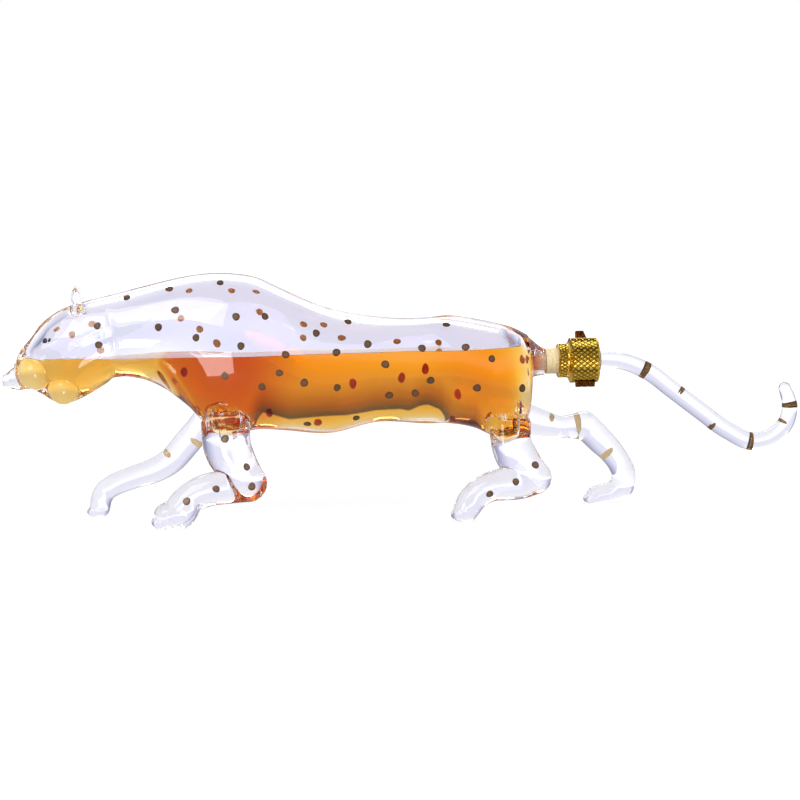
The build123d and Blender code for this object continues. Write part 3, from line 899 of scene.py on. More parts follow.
@dataclass
class BlownForm:
    """The outside of the blown glass, or its inside where it has an inset.

    The distance is the trunk's, an ellipse in each section, softly united with the two pairs of
    head bulbs and the neck, less slow ripples from the blowing.
    """

    inset: float = 0.0
    rear_wall: float = 0.0
    front_share: float = 0.03
    front_length: float = 30.0
    front_cap: float = 7.0
    front_reach: float = 7.0
    rear_cap: float = 4.0
    bulb_out: float = 1.0
    union_mm: float = 1.6
    groove: float = 1.6
    groove_width: float = 2.2
    lens: float = 0.0
    hips: tuple[tuple[float, ...], ...] = HIPS
    hip_inset: float = 0.55
    hip_melt: float = 5.0
    neck_melt: float = 4.0
    tube_x: float = 86.4
    tube_radius: float = 8.4
    flare_out: float = 4.1
    flare_length: float = 10.7
    steep_rate: float = 0.9
    steep_start: float = 1.5
    steep_radius: float = 15.5
    steep_length: float = 12.0
    root_radius: float = 12.5
    root_length: float = 4.0
    bore_length: float = 12.0
    seat_rounds: int = 5
    seat_depth: float = 0.35
    seat_length: float = 45.0

    def sections(self, x: Array) -> tuple[Array, Array, Array]:
        """The trunk's ellipses.

        Args:
            x: places along the body.

        Returns:
            Height of the centre, half width and half height, the ends rounded off by a quarter
            of an ellipse.
        """
        inside_length = BODY_LENGTH - self.inset - self.rear_wall
        outside_x = FRONT_X + (x - FRONT_X - self.inset) * BODY_LENGTH / inside_length
        share = (outside_x - FRONT_X) / BODY_LENGTH
        table = hermite(BODY_STATIONS[:, 0], BODY_STATIONS[:, 1:], share)
        centre = (table[..., 0] + table[..., 1]) / 2 * WITHERS
        half_height = (table[..., 0] - table[..., 1]) / 2 * WITHERS - self.inset
        half_width = table[..., 2] * TRUNK_WIDTH / 2 - self.inset
        front_end = FRONT_X - self.front_reach + self.front_cap
        front = np.clip((front_end - outside_x) / self.front_cap, 0, 1)
        rear = np.clip((outside_x - RUMP_X + self.rear_cap) / self.rear_cap, 0, 1)
        rounding = np.sqrt(np.maximum(1 - front**2, 0)) * np.sqrt(np.maximum(1 - rear**2, 0))
        return centre, half_width * rounding, half_height * rounding

    def middle(self, x: Array) -> Array:
        """Height of the middle of the form, the trunk's centre that turns to the neck's axis.

        Args:
            x: places along the body.

        Returns:
            The heights.
        """
        centre = self.sections(x)[0]
        turn = step(RUMP_X - self.inset - 9.0, RUMP_X - self.inset - 1.0, x)
        return centre + (NECK_Z - centre) * turn

    def front_height(self) -> float:
        """Height of the middle just behind the front end."""
        return self.middle(np.array([along_body(self.front_share)]))[0]

    def neck_radius(self, x: Array, rise: Array) -> Array:
        """The neck: a flare that falls to the lip, steeper over its axis, or the plain bore inside.

        Args:
            x: places along the body.
            rise: heights over the neck's axis.

        Returns:
            The radius: the tube's and a parabola, or over the axis nearly a straight slope.
        """
        if self.inset > 0:
            bore_x = RUMP_X - self.bore_length
            return np.where(x > bore_x, BORE_RADIUS, BORE_RADIUS - (bore_x - x))
        ahead = np.clip(self.tube_x - x, 0, None)
        flare = self.tube_radius + self.flare_out * (ahead / self.flare_length) ** 2
        steep = self.tube_radius + self.steep_rate * ahead**2 / (ahead + self.steep_start)
        more = np.minimum(steep, self.steep_radius) - flare
        flare = flare + more * step(-4, 10, rise) * (ahead < self.steep_length)
        root_x = RUMP_X - self.root_length
        return np.where(x > root_x, flare, self.root_radius - (root_x - x))

    def ripples(self, points: Array) -> Array:
        """Slow waves of the hand-blown wall, and the folds and swells of the animal's coat.

        Args:
            points: places in millimetres.

        Returns:
            How much deeper the wall lies: waves, a bowed fold behind the cheek, a ridge that
            slants back down the chest, and swells that leave the middle line even.
        """
        x, y, z = np.moveaxis(points, -1, 0)
        phase, share = (1.7, 0.7) if self.inset > 0 else (0.0, 1.0)
        waves = sum(depth * np.sin(x / length + z / height + phase)
                    for depth, length, height in WAVES) * step(153, 141, z)
        fold_x = -187.0 + 8.0 * (1 - ((z - 108.0) / 34.0) ** 2)
        ridge_x = -150.0 + 26.0 * np.clip((100.0 - z) / 44.0, 0, 1) ** 0.8
        folds = (crease(0.9, x - fold_x, 1.9, z, (80, 96), (136, 126))
                 + crease(-1.5, x - ridge_x, 2.2, z, (50, 60), (104, 96)))
        away = step(2.0, 10.0, np.abs(y))
        swollen = folds + swells(HEAD_SWELLS, x, z) * away + swells(COAT_SWELLS, x, z) * away
        return waves + share * swollen

    def belly(self, points: Array) -> Array:
        """What the glass is thicker by inside, under the belly and at the rump.

        Args:
            points: places in millimetres.

        Returns:
            The thickness: where the glass gathered in waves, and round the neck's root.
        """
        x, y, z = np.moveaxis(points, -1, 0)
        if self.inset <= 0:
            return np.zeros_like(x)
        centre, _, half_height = self.sections(x)
        low = np.clip((centre - z) / np.maximum(half_height, 1.0), 0, 1.1) ** 3
        swell = 3.2 + 1.2 * np.sin(x / 12.0 + 0.8) + 0.6 * np.sin(x / 6.1)
        rump = 4.5 * step(60, 74, x) * step(9, 16, np.hypot(y, z - NECK_Z))
        return low * swell * step(-168, -150, x) * step(60, 40, x) + rump

    def with_bulbs(self, result: Array, points: Array) -> Array:
        """Adds the head's bulbs: balls with a groove round each, or inside them thick lenses.

        Args:
            result: the distance without them.
            points: places in millimetres.

        Returns:
            The distance with them.
        """
        x, y, z = np.moveaxis(points, -1, 0)
        spheres = [
            np.sqrt(
                (x - along_body(place)) ** 2
                + (np.abs(y) - side * TRUNK_WIDTH / 2 - self.bulb_out) ** 2
                + (z - height * WITHERS) ** 2
            ) - radius * CHEEK_DIAMETER
            for place, side, height, radius in HEAD_BULBS
        ]
        for sphere in spheres:
            bell = np.exp(-(((sphere - 1.0) / self.groove_width) ** 2))
            result = result + self.groove * bell * step(3, 8, np.abs(y))
        if self.lens == 0:
            for sphere in spheres:
                result = soft_union(result, sphere, self.union_mm)
            return result
        for place, _, height, _ in HEAD_BULBS:
            across = np.hypot(x - along_body(place), z - height * WITHERS)
            swell = 0.6 * np.exp(-((across / 4.0) ** 2)) - np.exp(-((across / 9.0) ** 2))
            result = result + self.lens * swell * step(0, 5, np.abs(y))
        return result

    def distance(self, points: Array) -> Array:
        """How far points lie outside the form.

        Args:
            points: places in millimetres.

        Returns:
            The distances, below 0 inside.
        """
        x, y, z = np.moveaxis(points, -1, 0)
        centre, half_width, half_height = self.sections(x)
        away = np.hypot(y, z - centre)
        safe = np.maximum(away, 1e-9)
        spread = np.hypot(y / safe / np.maximum(half_width, 1e-6),
                          (z - centre) / safe / np.maximum(half_height, 1e-6))
        result = self.with_bulbs(away - 1 / spread, points)
        for place, side, height, radius, drop in self.hips:
            round_off = np.hypot(x - along_body(place), y - side * STANCE_WIDTH / 2)
            size = radius - self.hip_inset * self.inset
            tall = drop - self.hip_inset * self.inset
            egg = np.hypot(round_off / size, (z - height * WITHERS) / tall)
            result = soft_union(result, (egg - 1) * size, self.hip_melt)
        neck = np.hypot(y, z - NECK_Z) - self.neck_radius(x, z - NECK_Z)
        result = soft_union(result, neck, self.neck_melt)
        calm = step(RUMP_X - 10, RUMP_X - 25, x)
        return result + self.ripples(points) * calm + self.belly(points)

    def pole(self) -> float:
        """X of the front end of the form on its middle line.

        Returns:
            The place where a ray ahead from just behind the end leaves the form.
        """
        start = np.array([along_body(self.front_share)])
        height = self.front_height()

        def ahead(length: Array) -> Array:
            """The form's distance at the ray's lengths."""
            x = start - length
            return self.distance(np.stack([x, np.zeros_like(x), np.full_like(x, height)], -1))

        return float(start[0] - outward(ahead, np.array([self.front_length]))[0])

    def rings(self, x: Array, columns: int) -> Array:
        """Rings of the surface square to X.

        Args:
            x: the rings' places.
            columns: points in a ring.

        Returns:
            The points, closer together near the top and the bottom.
        """
        front_height = self.front_height()
        blend = step(along_body(0.0), along_body(self.front_share), x)
        height = front_height + (self.middle(x) - front_height) * blend
        angle = gathered_angles(columns)
        along = np.broadcast_to(x[:, None], (len(x), columns))
        side, up = -np.cos(angle)[None, :], np.sin(angle)[None, :]

        def at(length: Array) -> Array:
            """The points at the rays' lengths."""
            return np.stack([along, side * length, height[:, None] + up * length], -1)

        return at(outward(lambda t: self.distance(at(t)), np.full(along.shape, RAY_LENGTH)))

    def seated(self, points: Array, normals: Array, flare: float, ahead: Array) -> Array:
        """Melts a solid glass piece onto the form.

        A point outside moves out along its normal by (sqrt(flare) - sqrt(distance)) squared, the
        fillet between the two, and a point inside the form moves ahead to just under its surface.

        Args:
            points: the piece's points in millimetres.
            normals: the piece's normals.
            flare: the fillet's reach.
            ahead: the direction in which the piece leaves the form.

        Returns:
            The moved points.
        """
        moved = points.copy()
        for _ in range(self.seat_rounds):
            away = self.distance(moved)
            outside = (math.sqrt(flare) - np.sqrt(np.clip(away, 0, flare))) ** 2
            inside = flare * np.clip(1 + away / (2.5 * flare), 0, 1)
            push = np.where(away >= 0, outside, inside)
            moved = points + normals * push[:, None]
        length = outward(lambda t: self.distance(moved + t[:, None] * ahead) + self.seat_depth,
                         np.full(len(moved), self.seat_length))
        hidden = self.distance(moved) < -self.seat_depth
        return moved + (length * hidden)[:, None] * ahead


OUTSIDE = BlownForm()
TRUNK = BlownForm(hips=())
# The head's bulbs are thick glass, so the inside only swells a little behind each
INSIDE = BlownForm(inset=4.0, groove=0.0, neck_melt=2.0, rear_wall=6.5, lens=4.0)


@dataclass
class GlassBody:
    """The blown trunk, head and neck: one wall of clear glass with an open bore."""

    columns: int = 144
    outer_rows: int = 330
    inner_rows: int = 290
    lip_rows: int = 9
    lip_radius: float = 1.2
    end_crowd: Pair = (5.0, 5.0)
    rump_crowd: Pair = (2.5, 7.0)
    lip_crowd: Pair = (4.0, 1.0)
    wet_within: float = 0.6

    def surface(self) -> Array:
        """Rings of the whole wall, closer together near the ends, the rump and the lip.

        Returns:
            The outside, the lip's half round, the bore and the inside, in one grid.
        """
        start = OUTSIDE.pole()
        lip_start = LIP_X - self.lip_radius
        dense = ((start, *self.end_crowd), (RUMP_X, *self.rump_crowd), (LIP_X, *self.lip_crowd))
        outer = OUTSIDE.rings(spaced(start, lip_start, self.outer_rows, dense), self.columns)
        turn = np.linspace(0, np.pi, self.lip_rows + 2)[1:-1, None]
        angle = gathered_angles(self.columns)[None, :]
        radius = BORE_RADIUS + self.lip_radius + self.lip_radius * np.cos(turn)
        along = lip_start + self.lip_radius * np.sin(turn)
        lip = np.stack([
            np.broadcast_to(along, (self.lip_rows, self.columns)),
            -np.cos(angle) * radius, NECK_Z + np.sin(angle) * radius,
        ], -1)
        end = INSIDE.pole()
        dense = ((end, *self.end_crowd), (RUMP_X - INSIDE.inset, *self.rump_crowd))
        inner = INSIDE.rings(spaced(end, lip_start, self.inner_rows, dense)[::-1], self.columns)
        return np.concatenate([outer, lip, inner])

    def build(self) -> Object:
        """Makes the piece that stands for the CAD's blown glass.

        Returns:
            The piece, its inside painted as wet up to the liquor's level.
        """
        piece = make_piece("blown_body", closed_grid(self.surface()), GLASS, "decanter", ["glass_body"])
        centres = face_centres(piece)
        inner = (INSIDE.distance(centres) < self.wet_within) & (centres[:, 0] < Filling.end_x)
        paint(piece, WET_GLASS, inner & (centres[:, 2] < LEVEL_Z))
        return piece


@dataclass
class Filling:
    """The liquor: the glass's inside up to its level, grown a little into the wall.

    The liquid overlaps the glass, so that light passes from one straight into the other.
    """

    rows: int = 300
    wall_columns: int = 132
    top_columns: int = 28
    overlap: float = 0.25
    meniscus: float = 0.35
    meniscus_width: float = 1.2
    skin: float = 0.12
    skin_proud: float = 0.04
    end_x: float = 78.0
    end_crowd: Pair = (5.0, 5.0)
    rump_crowd: Pair = (2.5, 6.0)
    slant: float = 0.08
    near_wall_y: float = -15.0
    rise_height: float = 40.0
    chest_lean: float = 0.62
    chest_front: Pair = (-152.0, -147.0)
    chest_rear: Pair = (-62.0, -104.0)
    chest_foot: Pair = (60.0, 72.0)

    def distance(self, points: Array) -> Array:
        """Distance outside the grown form of the glass's inside."""
        return INSIDE.distance(points) - self.overlap

    def reach(self, x: Array, z: Array, side: float, up: float) -> Array:
        """How far rays from the middle plane run to the wall.

        Args:
            x: places along the body.
            z: heights of the rays' starts.
            side: the rays' rate along Y.
            up: the rays' rate along Z.

        Returns:
            The lengths.
        """
        def at(length: Array) -> Array:
            """The form's distance at the rays' lengths."""
            return self.distance(np.stack([x, side * length, z + up * length], -1))

        return outward(at, np.full(x.shape, RAY_LENGTH))

    def surface(self) -> Array:
        """Rings square to X: down one wall, up the other and back over the flat top.

        Returns:
            The points: rays at even angles from each section's middle to the wall, then the top,
            which climbs to the wall by a falling exponential.
        """
        start = INSIDE.pole() - self.overlap * 0.8
        dense = ((start, *self.end_crowd), (RUMP_X - INSIDE.inset, *self.rump_crowd))
        x = spaced(start, self.end_x, self.rows, dense)
        base = INSIDE.middle(x)
        roof = base + self.reach(x, base, 0.0, 1.0)
        floor = base - self.reach(x, base, 0.0, -1.0)
        edge = np.minimum(roof, LEVEL_Z + self.meniscus)
        middle = (edge + floor) / 2
        left = self.reach(x, edge - 1e-4, -1.0, 0.0)
        right = self.reach(x, edge - 1e-4, 1.0, 0.0)
        first = np.arctan2(edge - middle, -left)
        last = np.arctan2(edge - middle, right) + 2 * np.pi
        share = np.linspace(0, 1, self.wall_columns)[None, :]
        angle = first[:, None] + (last - first)[:, None] * share
        along = np.broadcast_to(x[:, None], angle.shape)
        side, up = np.cos(angle), np.sin(angle)

        def at(length: Array) -> Array:
            """The points at the rays' lengths."""
            return np.stack([along, side * length, middle[:, None] + up * length], -1)

        wall = at(outward(lambda t: self.distance(at(t)), np.full(angle.shape, RAY_LENGTH)))
        wall[:, 0] = np.stack([x, -left, edge], -1)
        wall[:, -1] = np.stack([x, right, edge], -1)
        share = (1 + np.cos(np.linspace(0, np.pi, self.top_columns + 2)[1:-1])) / 2
        across = -left[:, None] + (right + left)[:, None] * share[None, :]
        shore = np.minimum(right[:, None] - across, across + left[:, None])
        height = LEVEL_Z + self.meniscus * np.exp(-shore / self.meniscus_width)
        height = np.minimum(height, edge[:, None])
        top = np.stack([np.broadcast_to(x[:, None], across.shape), across, height], -1)
        return np.concatenate([wall, top], axis=1)

    def shades(self, surface: Array) -> dict[str, Array]:
        """Where each point lies against the belly line, from which the painted shade starts, and in
        the chest.

        The line is the one that the liquor's near wall shows under the camera's slant, so a point
        farther away counts as lying higher by its distance behind the near wall times that slant.

        Args:
            surface: the rings' points.

        Returns:
            The attributes that the finish reads, also for the two middles that close the grid.
        """
        x, y, z = np.moveaxis(surface, -1, 0)
        line = np.interp(x, BELLY_LINE[:, 0], BELLY_LINE[:, 1])
        # The painted shade's place: height over the belly line, slanted by the distance behind the near
        # wall
        rise = 0.5 + (z + (y - self.near_wall_y) * self.slant - line) / self.rise_height
        leaned = x + self.chest_lean * (z - LEVEL_Z)
        chest = step(*self.chest_front, leaned) * step(*self.chest_rear, x)
        chest = chest * step(*self.chest_foot, z)
        return {name: np.concatenate([values.ravel(), [values[0].mean(), values[-1].mean()]])
                for name, values in (("rise", np.clip(rise, 0, 1)), ("chest", chest))}

    def build(self) -> None:
        """Makes the liquor, which stands for the CAD's, and the skin on its flat top."""
        surface = self.surface()
        top = surface[:, self.wall_columns:] + np.array([0.0, 0.0, self.skin_proud])
        under = top - np.array([0.0, 0.0, self.skin])
        sheet = np.concatenate([top, under[:, ::-1]], axis=1)
        make_piece("liquor_top", closed_grid(sheet), SKIN, "decanter", crisp=40)
        make_piece("filling", closed_grid(surface), SPIRIT, "decanter", ["liquor"], crisp=40,
                   shares=self.shades(surface))


def carried(points: Array, radii: Array, rings: int, sides: int,
            flat: float = 1.0, dome: float = 1.0) -> Shape:
    """A round profile carried along a smooth path, closed by a dome at its start and a half ball.

    Args:
        points: the path's points in millimetres.
        radii: the radius at each of them.
        rings: rings between the path's ends.
        sides: points in a ring.
        flat: the ring's size along its second direction against its first.
        dome: the first dome's height against its radius.

    Returns:
        Points and faces.
    """
    length = running_length(points)
    at = np.linspace(0, length[-1], rings)
    centre = hermite(length, points, at)
    radius = hermite(length, radii, at)
    ahead = unit(np.gradient(centre, axis=0))
    turn = np.linspace(0, np.pi / 2, DOME_RINGS + 1)[:-1]
    low = centre[:1] - ahead[:1] * (radius[0] * dome * np.cos(turn))[:, None]
    high = centre[-1:] + ahead[-1:] * (radius[-1] * np.cos(turn[::-1]))[:, None]
    centre = np.vstack([low, centre, high])
    radius = np.concatenate([radius[0] * np.sin(turn), radius, radius[-1] * np.sin(turn[::-1])])
    ahead = np.vstack([
        np.repeat(ahead[:1], DOME_RINGS, 0), ahead, np.repeat(ahead[-1:], DOME_RINGS, 0)
    ])
    side = unit(np.array([0.0, 1.0, 0.0]) - ahead * ahead[:, 1:2])
    up = np.cross(ahead, side)
    angle = round_angles(sides)
    ring = (side[:, None] * np.cos(angle)[None, :, None]
            + up[:, None] * np.sin(angle)[None, :, None] * flat)
    return closed_grid(centre[:, None] + ring * radius[:, None, None])


# A paw's toes: how many spreads each stands to the side, and its share of the reach ahead
TOES = ((-1, 0.75), (0, 1.0), (1, 0.75))


@dataclass
class Limb:
    """A solid glass leg: tubes, joint knobs and toes melted into one form and onto the body."""

    name: str
    flare: float = 4.0
    depth: float = 2.5
    joint_dome: float = 0.15
    rings: int = 60
    sides: int = 40
    shown_stations: int = 24
    voxel: float = 0.55
    toe_spread: float = 3.5
    toe_ahead: float = 3.6
    toe_radii: Triple = (0.60, 0.55, 0.42)
    toe_rings: int = 8
    toe_sides: int = 20
    sole_softness: float = 0.25
    clearance: float = 0.02

    def stations(self, run: Sequence[Colour]) -> Array:
        """Centre points and radii of a run in millimetres.

        Args:
            run: its rows in LEG_RUNS.

        Returns:
            X, Y, Z and radius of each.
        """
        table = np.array(run)
        return np.stack([
            FRONT_X + table[:, 0] * BODY_LENGTH, table[:, 1] * STANCE_WIDTH / 2,
            table[:, 2] * WITHERS, table[:, 3] * LEG_DIAMETER,
        ], -1)

    def toes(self, last: Array) -> list[Shape]:
        """Three toes side by side in front of the paw.

        Args:
            last: the leg's last station.

        Returns:
            The points and faces of each toe.
        """
        x, y, _, radius = last
        parts = []
        for across, reach in TOES:
            root = np.array([x + 1.0, y + across * self.toe_spread * 0.7, radius * 0.62])
            tip = np.array([x - radius * 0.35 - self.toe_ahead * reach,
                            y + across * self.toe_spread, radius * 0.50])
            parts.append(carried(np.stack([root, (root + tip) / 2, tip]),
                                 radius * np.array(self.toe_radii), self.toe_rings, self.toe_sides))
        return parts

    def shape(self) -> Shape:
        """The tubes and toes, still as separate overlapping forms.

        Returns:
            Points and faces, the first tube cut off where it would run on inside the body.
        """
        runs = [self.stations(run) for run in LEG_RUNS[self.name]]
        fine = np.linspace(0, len(runs[0]) - 1, 400)
        line = hermite(np.arange(len(runs[0]), dtype=float), runs[0], fine)
        shown = line[TRUNK.distance(line[:, :3]) > -self.depth]
        runs[0] = shown[np.linspace(0, len(shown) - 1, self.shown_stations).astype(int)]
        domes = [self.joint_dome] + [1.0] * (len(runs) - 1)
        tubes = [carried(run[:, :3], run[:, 3], self.rings, self.sides, dome=dome)
                 for run, dome in zip(runs, domes)]
        return join(tubes + self.toes(runs[-1][-1]))

    def build(self) -> Object:
        """Makes the piece that stands for the CAD's leg.

        Returns:
            The piece, melted by Remesh and Smooth, seated on the body, with a flat sole.
        """
        piece = make_piece(self.name + "_limb", self.shape(), GLASS, "decanter", [self.name + "_leg"])
        skin = piece.modifiers.new("melt", "REMESH")
        skin.mode = "VOXEL"
        skin.voxel_size = self.voxel * MILLIMETRE
        skin.use_smooth_shade = True
        even = piece.modifiers.new("even", "SMOOTH")
        even.factor = 0.5
        even.iterations = 10
        settle(piece)
        mesh = piece.data
        points = read(mesh.vertices, "co") / MILLIMETRE
        start = self.stations(LEG_RUNS[self.name][0])[:2, :3]
        ahead = (start[1] - start[0]) / np.linalg.norm(start[1] - start[0])
        points = OUTSIDE.seated(points, read(mesh.vertex_normals, "vector"), self.flare, ahead)
        low = points[:, 2]
        points[:, 2] = (low + np.sqrt(low**2 + self.sole_softness**2)) / 2
        near, far = (corner[1] / MILLIMETRE for corner in cad_box)
        points[:, 1] = np.clip(points[:, 1], near + self.clearance, far - self.clearance)
        mesh.vertices.foreach_set("co", (points * MILLIMETRE).ravel())
        mesh.update()
        LOG.info("%s: %d points after melting", piece.name, len(points))
        return piece


@dataclass
class Drop:
    """A small solid drop of glass pulled out of the head: an ear or the nose."""

    name: str
    root: Triple
    tip: Triple
    radii: tuple[float, ...]
    flare: float = 2.0
    flat: float = 1.0
    dome: float = 0.2
    rings: int = 50
    sides: int = 48

    def build(self) -> Object:
        """Makes the piece that stands for the CAD node of the same name.

        Returns:
            The piece, seated on the head.
        """
        root, tip = np.array(self.root), np.array(self.tip)
        share = np.linspace(0, 1, len(self.radii))[:, None]
        points, faces = carried(root + (tip - root) * share, np.array(self.radii), self.rings,
                                self.sides, self.flat, self.dome)
        length = np.linalg.norm(tip - root)
        axis = (tip - root) / length
        along = np.clip((points - root) @ axis, 0, length)
        normals = points - root - along[:, None] * axis
        normals /= np.maximum(np.linalg.norm(normals, axis=1), 1e-6)[:, None]
        points = OUTSIDE.seated(points, normals, self.flare, axis)
        points[:, 0] = np.maximum(points[:, 0], NOSE_X)
        return make_piece(self.name + "_drop", (points, faces), GLASS, "decanter", [self.name])


@dataclass
class Head:
    """The solid drops pulled out of the head: the nose and the two ears."""

    nose_root: Triple = (-236.0, 0.0, 92.5)
    nose_end: Triple = (-244.6, 0.0, 90.2)
    nose_radii: tuple[float, ...] = (7.8, 7.7, 7.4, 6.9, 6.1, 5.2)
    ear_share: float = 0.103
    ear_height: float = 0.858
    ear_sunk: float = 0.5
    ear_rise: float = 14.9
    ear_root_y: float = 9.0
    ear_end_y: float = 11.0
    ear_radii: tuple[float, ...] = (4.7, 4.6, 4.3, 3.8, 2.8, 1.1)

    def build(self, blown: Object) -> None:
        """Makes the drops and melts them onto the head.

        Args:
            blown: the blown glass.
        """
        weld(blown, Drop("nose_tip", self.nose_root, self.nose_end, self.nose_radii).build())
        x, z = along_body(self.ear_share), self.ear_height * WITHERS
        for side in Side:
            root = (x, side.value * self.ear_root_y, z - self.ear_sunk)
            end = (x, side.value * self.ear_end_y, z + self.ear_rise)
            ear = Drop(side.name.lower() + "_ear", root, end, self.ear_radii, flare=1.2, flat=0.8)
            weld(blown, ear.build())


@dataclass
class EnamelSpots:
    """Spots of fired enamel laid on a glass piece, each its own slightly uneven round."""

    name: str
    node: str
    places: Sequence[Pair]
    target: Object
    side: Side
    diameter: float = 4.7
    # The largest share of the finish's painted light that the middle of a spot's outer face takes
    painted_centre_light: float = 0.16
    finish: Finish = GILT_ENAMEL
    rounds: int = 5
    spokes: int = 24
    proud: float = 0.14
    sunk: float = 0.08
    outside_y: float = 70.0
    probe: float = 0.6
    seed: int = 1

    def build(self) -> None:
        """Lays the centres along Y, finds the slope there and lays round discs on the surface.

        The attribute "outer" is near 1 on their outer faces and 0 inside, where the finish puts its
        painted light; the middles of the outer faces take a little of it, a painted lighter middle.
        """
        places = np.array(self.places)
        count = len(places)
        x = FRONT_X + places[:, 0] * BODY_LENGTH
        z = places[:, 1] * WITHERS
        outside = np.full(count, self.outside_y * self.side.value)
        probe = np.stack([np.stack([x + dx, outside, z + dz], -1)
                          for dx, dz in ((0, 0), (self.probe, 0), (0, self.probe))])
        laid = wrapped(probe.reshape(-1, 3), self.target, True).reshape(3, count, 3)
        first = unit(laid[1] - laid[0])
        second = laid[2] - laid[0]
        second = unit(second - first * (first * second).sum(-1)[:, None])
        normal = np.cross(second, first)
        normal *= np.sign(normal[:, 1] * self.side.value)[:, None]
        draw = np.random.default_rng(self.seed)
        angle = round_angles(self.spokes)
        size = self.diameter / 2 * draw.uniform(0.93, 1.07, count)
        phase = draw.uniform(0, 2 * np.pi, (2, count))
        rim = (1 + 0.05 * np.sin(2 * angle[None] + phase[0][:, None])
               + 0.035 * np.sin(3 * angle[None] + phase[1][:, None]))
        share = np.linspace(0.12, 1, self.rounds)
        reach = size[:, None, None] * share[None, :, None] * rim[:, None, :]
        disc = (
            laid[0][:, None, None]
            + first[:, None, None] * (reach * np.cos(angle))[..., None]
            + second[:, None, None] * (reach * np.sin(angle))[..., None]
        )
        disc = wrapped(disc.reshape(-1, 3), self.target, False).reshape(disc.shape)
        lift = (self.proud * np.sqrt(np.clip(1 - share**4, 0.02, 1)))[None, :, None, None]
        upper = disc + normal[:, None, None] * lift
        lower = (disc - normal[:, None, None] * self.sunk)[:, ::-1]
        rings = np.concatenate([upper, lower], axis=1)
        # Painted light: the middles of the outer faces take a random share of the back's painted colour
        thin = draw.uniform(0.05, self.painted_centre_light, (count, 1)) * (1 - share**2)
        outer = np.hstack([1 - thin, np.zeros((count, self.rounds))])
        outer = np.repeat(outer, self.spokes, axis=1)
        outer = np.hstack([outer, 1 - thin[:, :1], np.zeros((count, 1))]).ravel()
        make_piece(self.name, join([closed_grid(ring) for ring in rings]), self.finish,
                   "decanter", [self.node], crisp=50, shares={"outer": outer})


# The tail's marks: the path's point before each, the share of the way to the next point, half the
# width in tail radii, and how much of the round it covers
TAIL_MARKS = (
    (4, 0.00, 0.27, Cover.ROUND), (5, 0.20, 0.24, Cover.UPPER), (6, 0.50, 0.30, Cover.LOWER),
    (8, 0.00, 0.16, Cover.ROUND), (10, 0.00, 0.30, Cover.UPPER), (11, 0.00, 0.24, Cover.ROUND),
)


@dataclass
class TailRod:
    """The solid glass tail: straight in the stopper, then an S with a hooked end."""

    reach: float = 126.3
    drop: float = 53.7
    diameter: float = 11.0
    root_radius: float = 5.0
    root_x: float = 107.3
    rings: int = 260
    sides: int = 48
    mark_rows: int = 7
    round_columns: int = 48
    patch_columns: int = 33
    patch_margin: float = 0.1
    proud: float = 0.15
    sunk: float = 0.08
    probe: float = 0.2

    def path(self) -> tuple[Array, Array]:
        """The rod's centre line.

        Returns:
            Its points and the radii there.
        """
        table = np.array(TAIL_STATIONS)
        straight = np.array([self.root_x + 2, COLLAR_END_X, RING_END_X])
        x = np.concatenate([straight, RING_END_X + table[:, 0] * self.reach])
        z = np.concatenate([np.full(3, NECK_Z), NECK_Z - table[:, 1] * self.drop])
        radius = np.concatenate([np.full(3, self.root_radius), table[:, 2] * self.diameter])
        return np.stack([x, np.zeros_like(x), z], -1), radius

    def build(self) -> None:
        """Makes the pieces that stand for the CAD's tail and for its bands."""
        make_piece("tail_rod", carried(*self.path(), self.rings, self.sides), GLASS, "stopper",
                   ["tail"])
        length = running_length(self.path()[0])
        parts = []
        for index, past, width, cover in TAIL_MARKS:
            at = length[index] + past * (length[index + 1] - length[index])
            parts.append(self.mark(at, width * self.diameter / 2, cover))
        make_piece("tail_marks", join(parts), TAIL_ENAMEL, "stopper", ["tail_bands"], crisp=50)

    def mark(self, at: float, half: float, cover: Cover) -> Shape:
        """One enamel mark, a thin closed patch bent round the rod.

        Args:
            at: place along the centre line in millimetres.
            half: half the mark's width in millimetres.
            cover: how much of the round it covers.

        Returns:
            Points and faces: even angles round the rod, narrowed to a lens where it isn't a band.
        """
        points, radii = self.path()
        length = running_length(points)
        whole = cover is Cover.ROUND
        columns = self.round_columns if whole else self.patch_columns
        start, end = {
            Cover.ROUND: (0, 2 * np.pi * (1 - 1 / columns)),
            Cover.UPPER: (self.patch_margin, np.pi - self.patch_margin),
            Cover.LOWER: (np.pi + self.patch_margin, 2 * np.pi - self.patch_margin),
        }[cover]
        angle = np.linspace(start, end, columns)
        lens = np.sqrt(np.clip(np.sin(np.linspace(0.02, np.pi - 0.02, columns)), 0, 1))
        narrow = np.ones(columns) if whole else lens
        uneven = 1 + 0.08 * np.sin(3 * angle + at) + 0.05 * np.sin(7 * angle + 2 * at)
        across = np.linspace(-1, 1, self.mark_rows)
        place = at + across[:, None] * half * (narrow * uneven)[None, :]
        centre = hermite(length, points, place.ravel()).reshape(*place.shape, 3)
        beyond = hermite(length, points, place.ravel() + self.probe).reshape(*place.shape, 3)
        ahead = unit(beyond - centre)
        side = np.broadcast_to([0.0, 1.0, 0.0], ahead.shape)
        up = np.cross(ahead, side)
        up *= np.sign(up[..., 2:3])
        ray = side * np.cos(angle)[None, :, None] + up * np.sin(angle)[None, :, None]
        radius = hermite(length, radii, place.ravel()).reshape(place.shape)[..., None]
        upper = centre + ray * (radius + self.proud)
        lower = (centre + ray * (radius - self.sunk))[::-1]
        sheet = np.concatenate([upper, lower])
        return ring_grid(sheet) if whole else closed_grid(sheet.transpose(1, 0, 2))


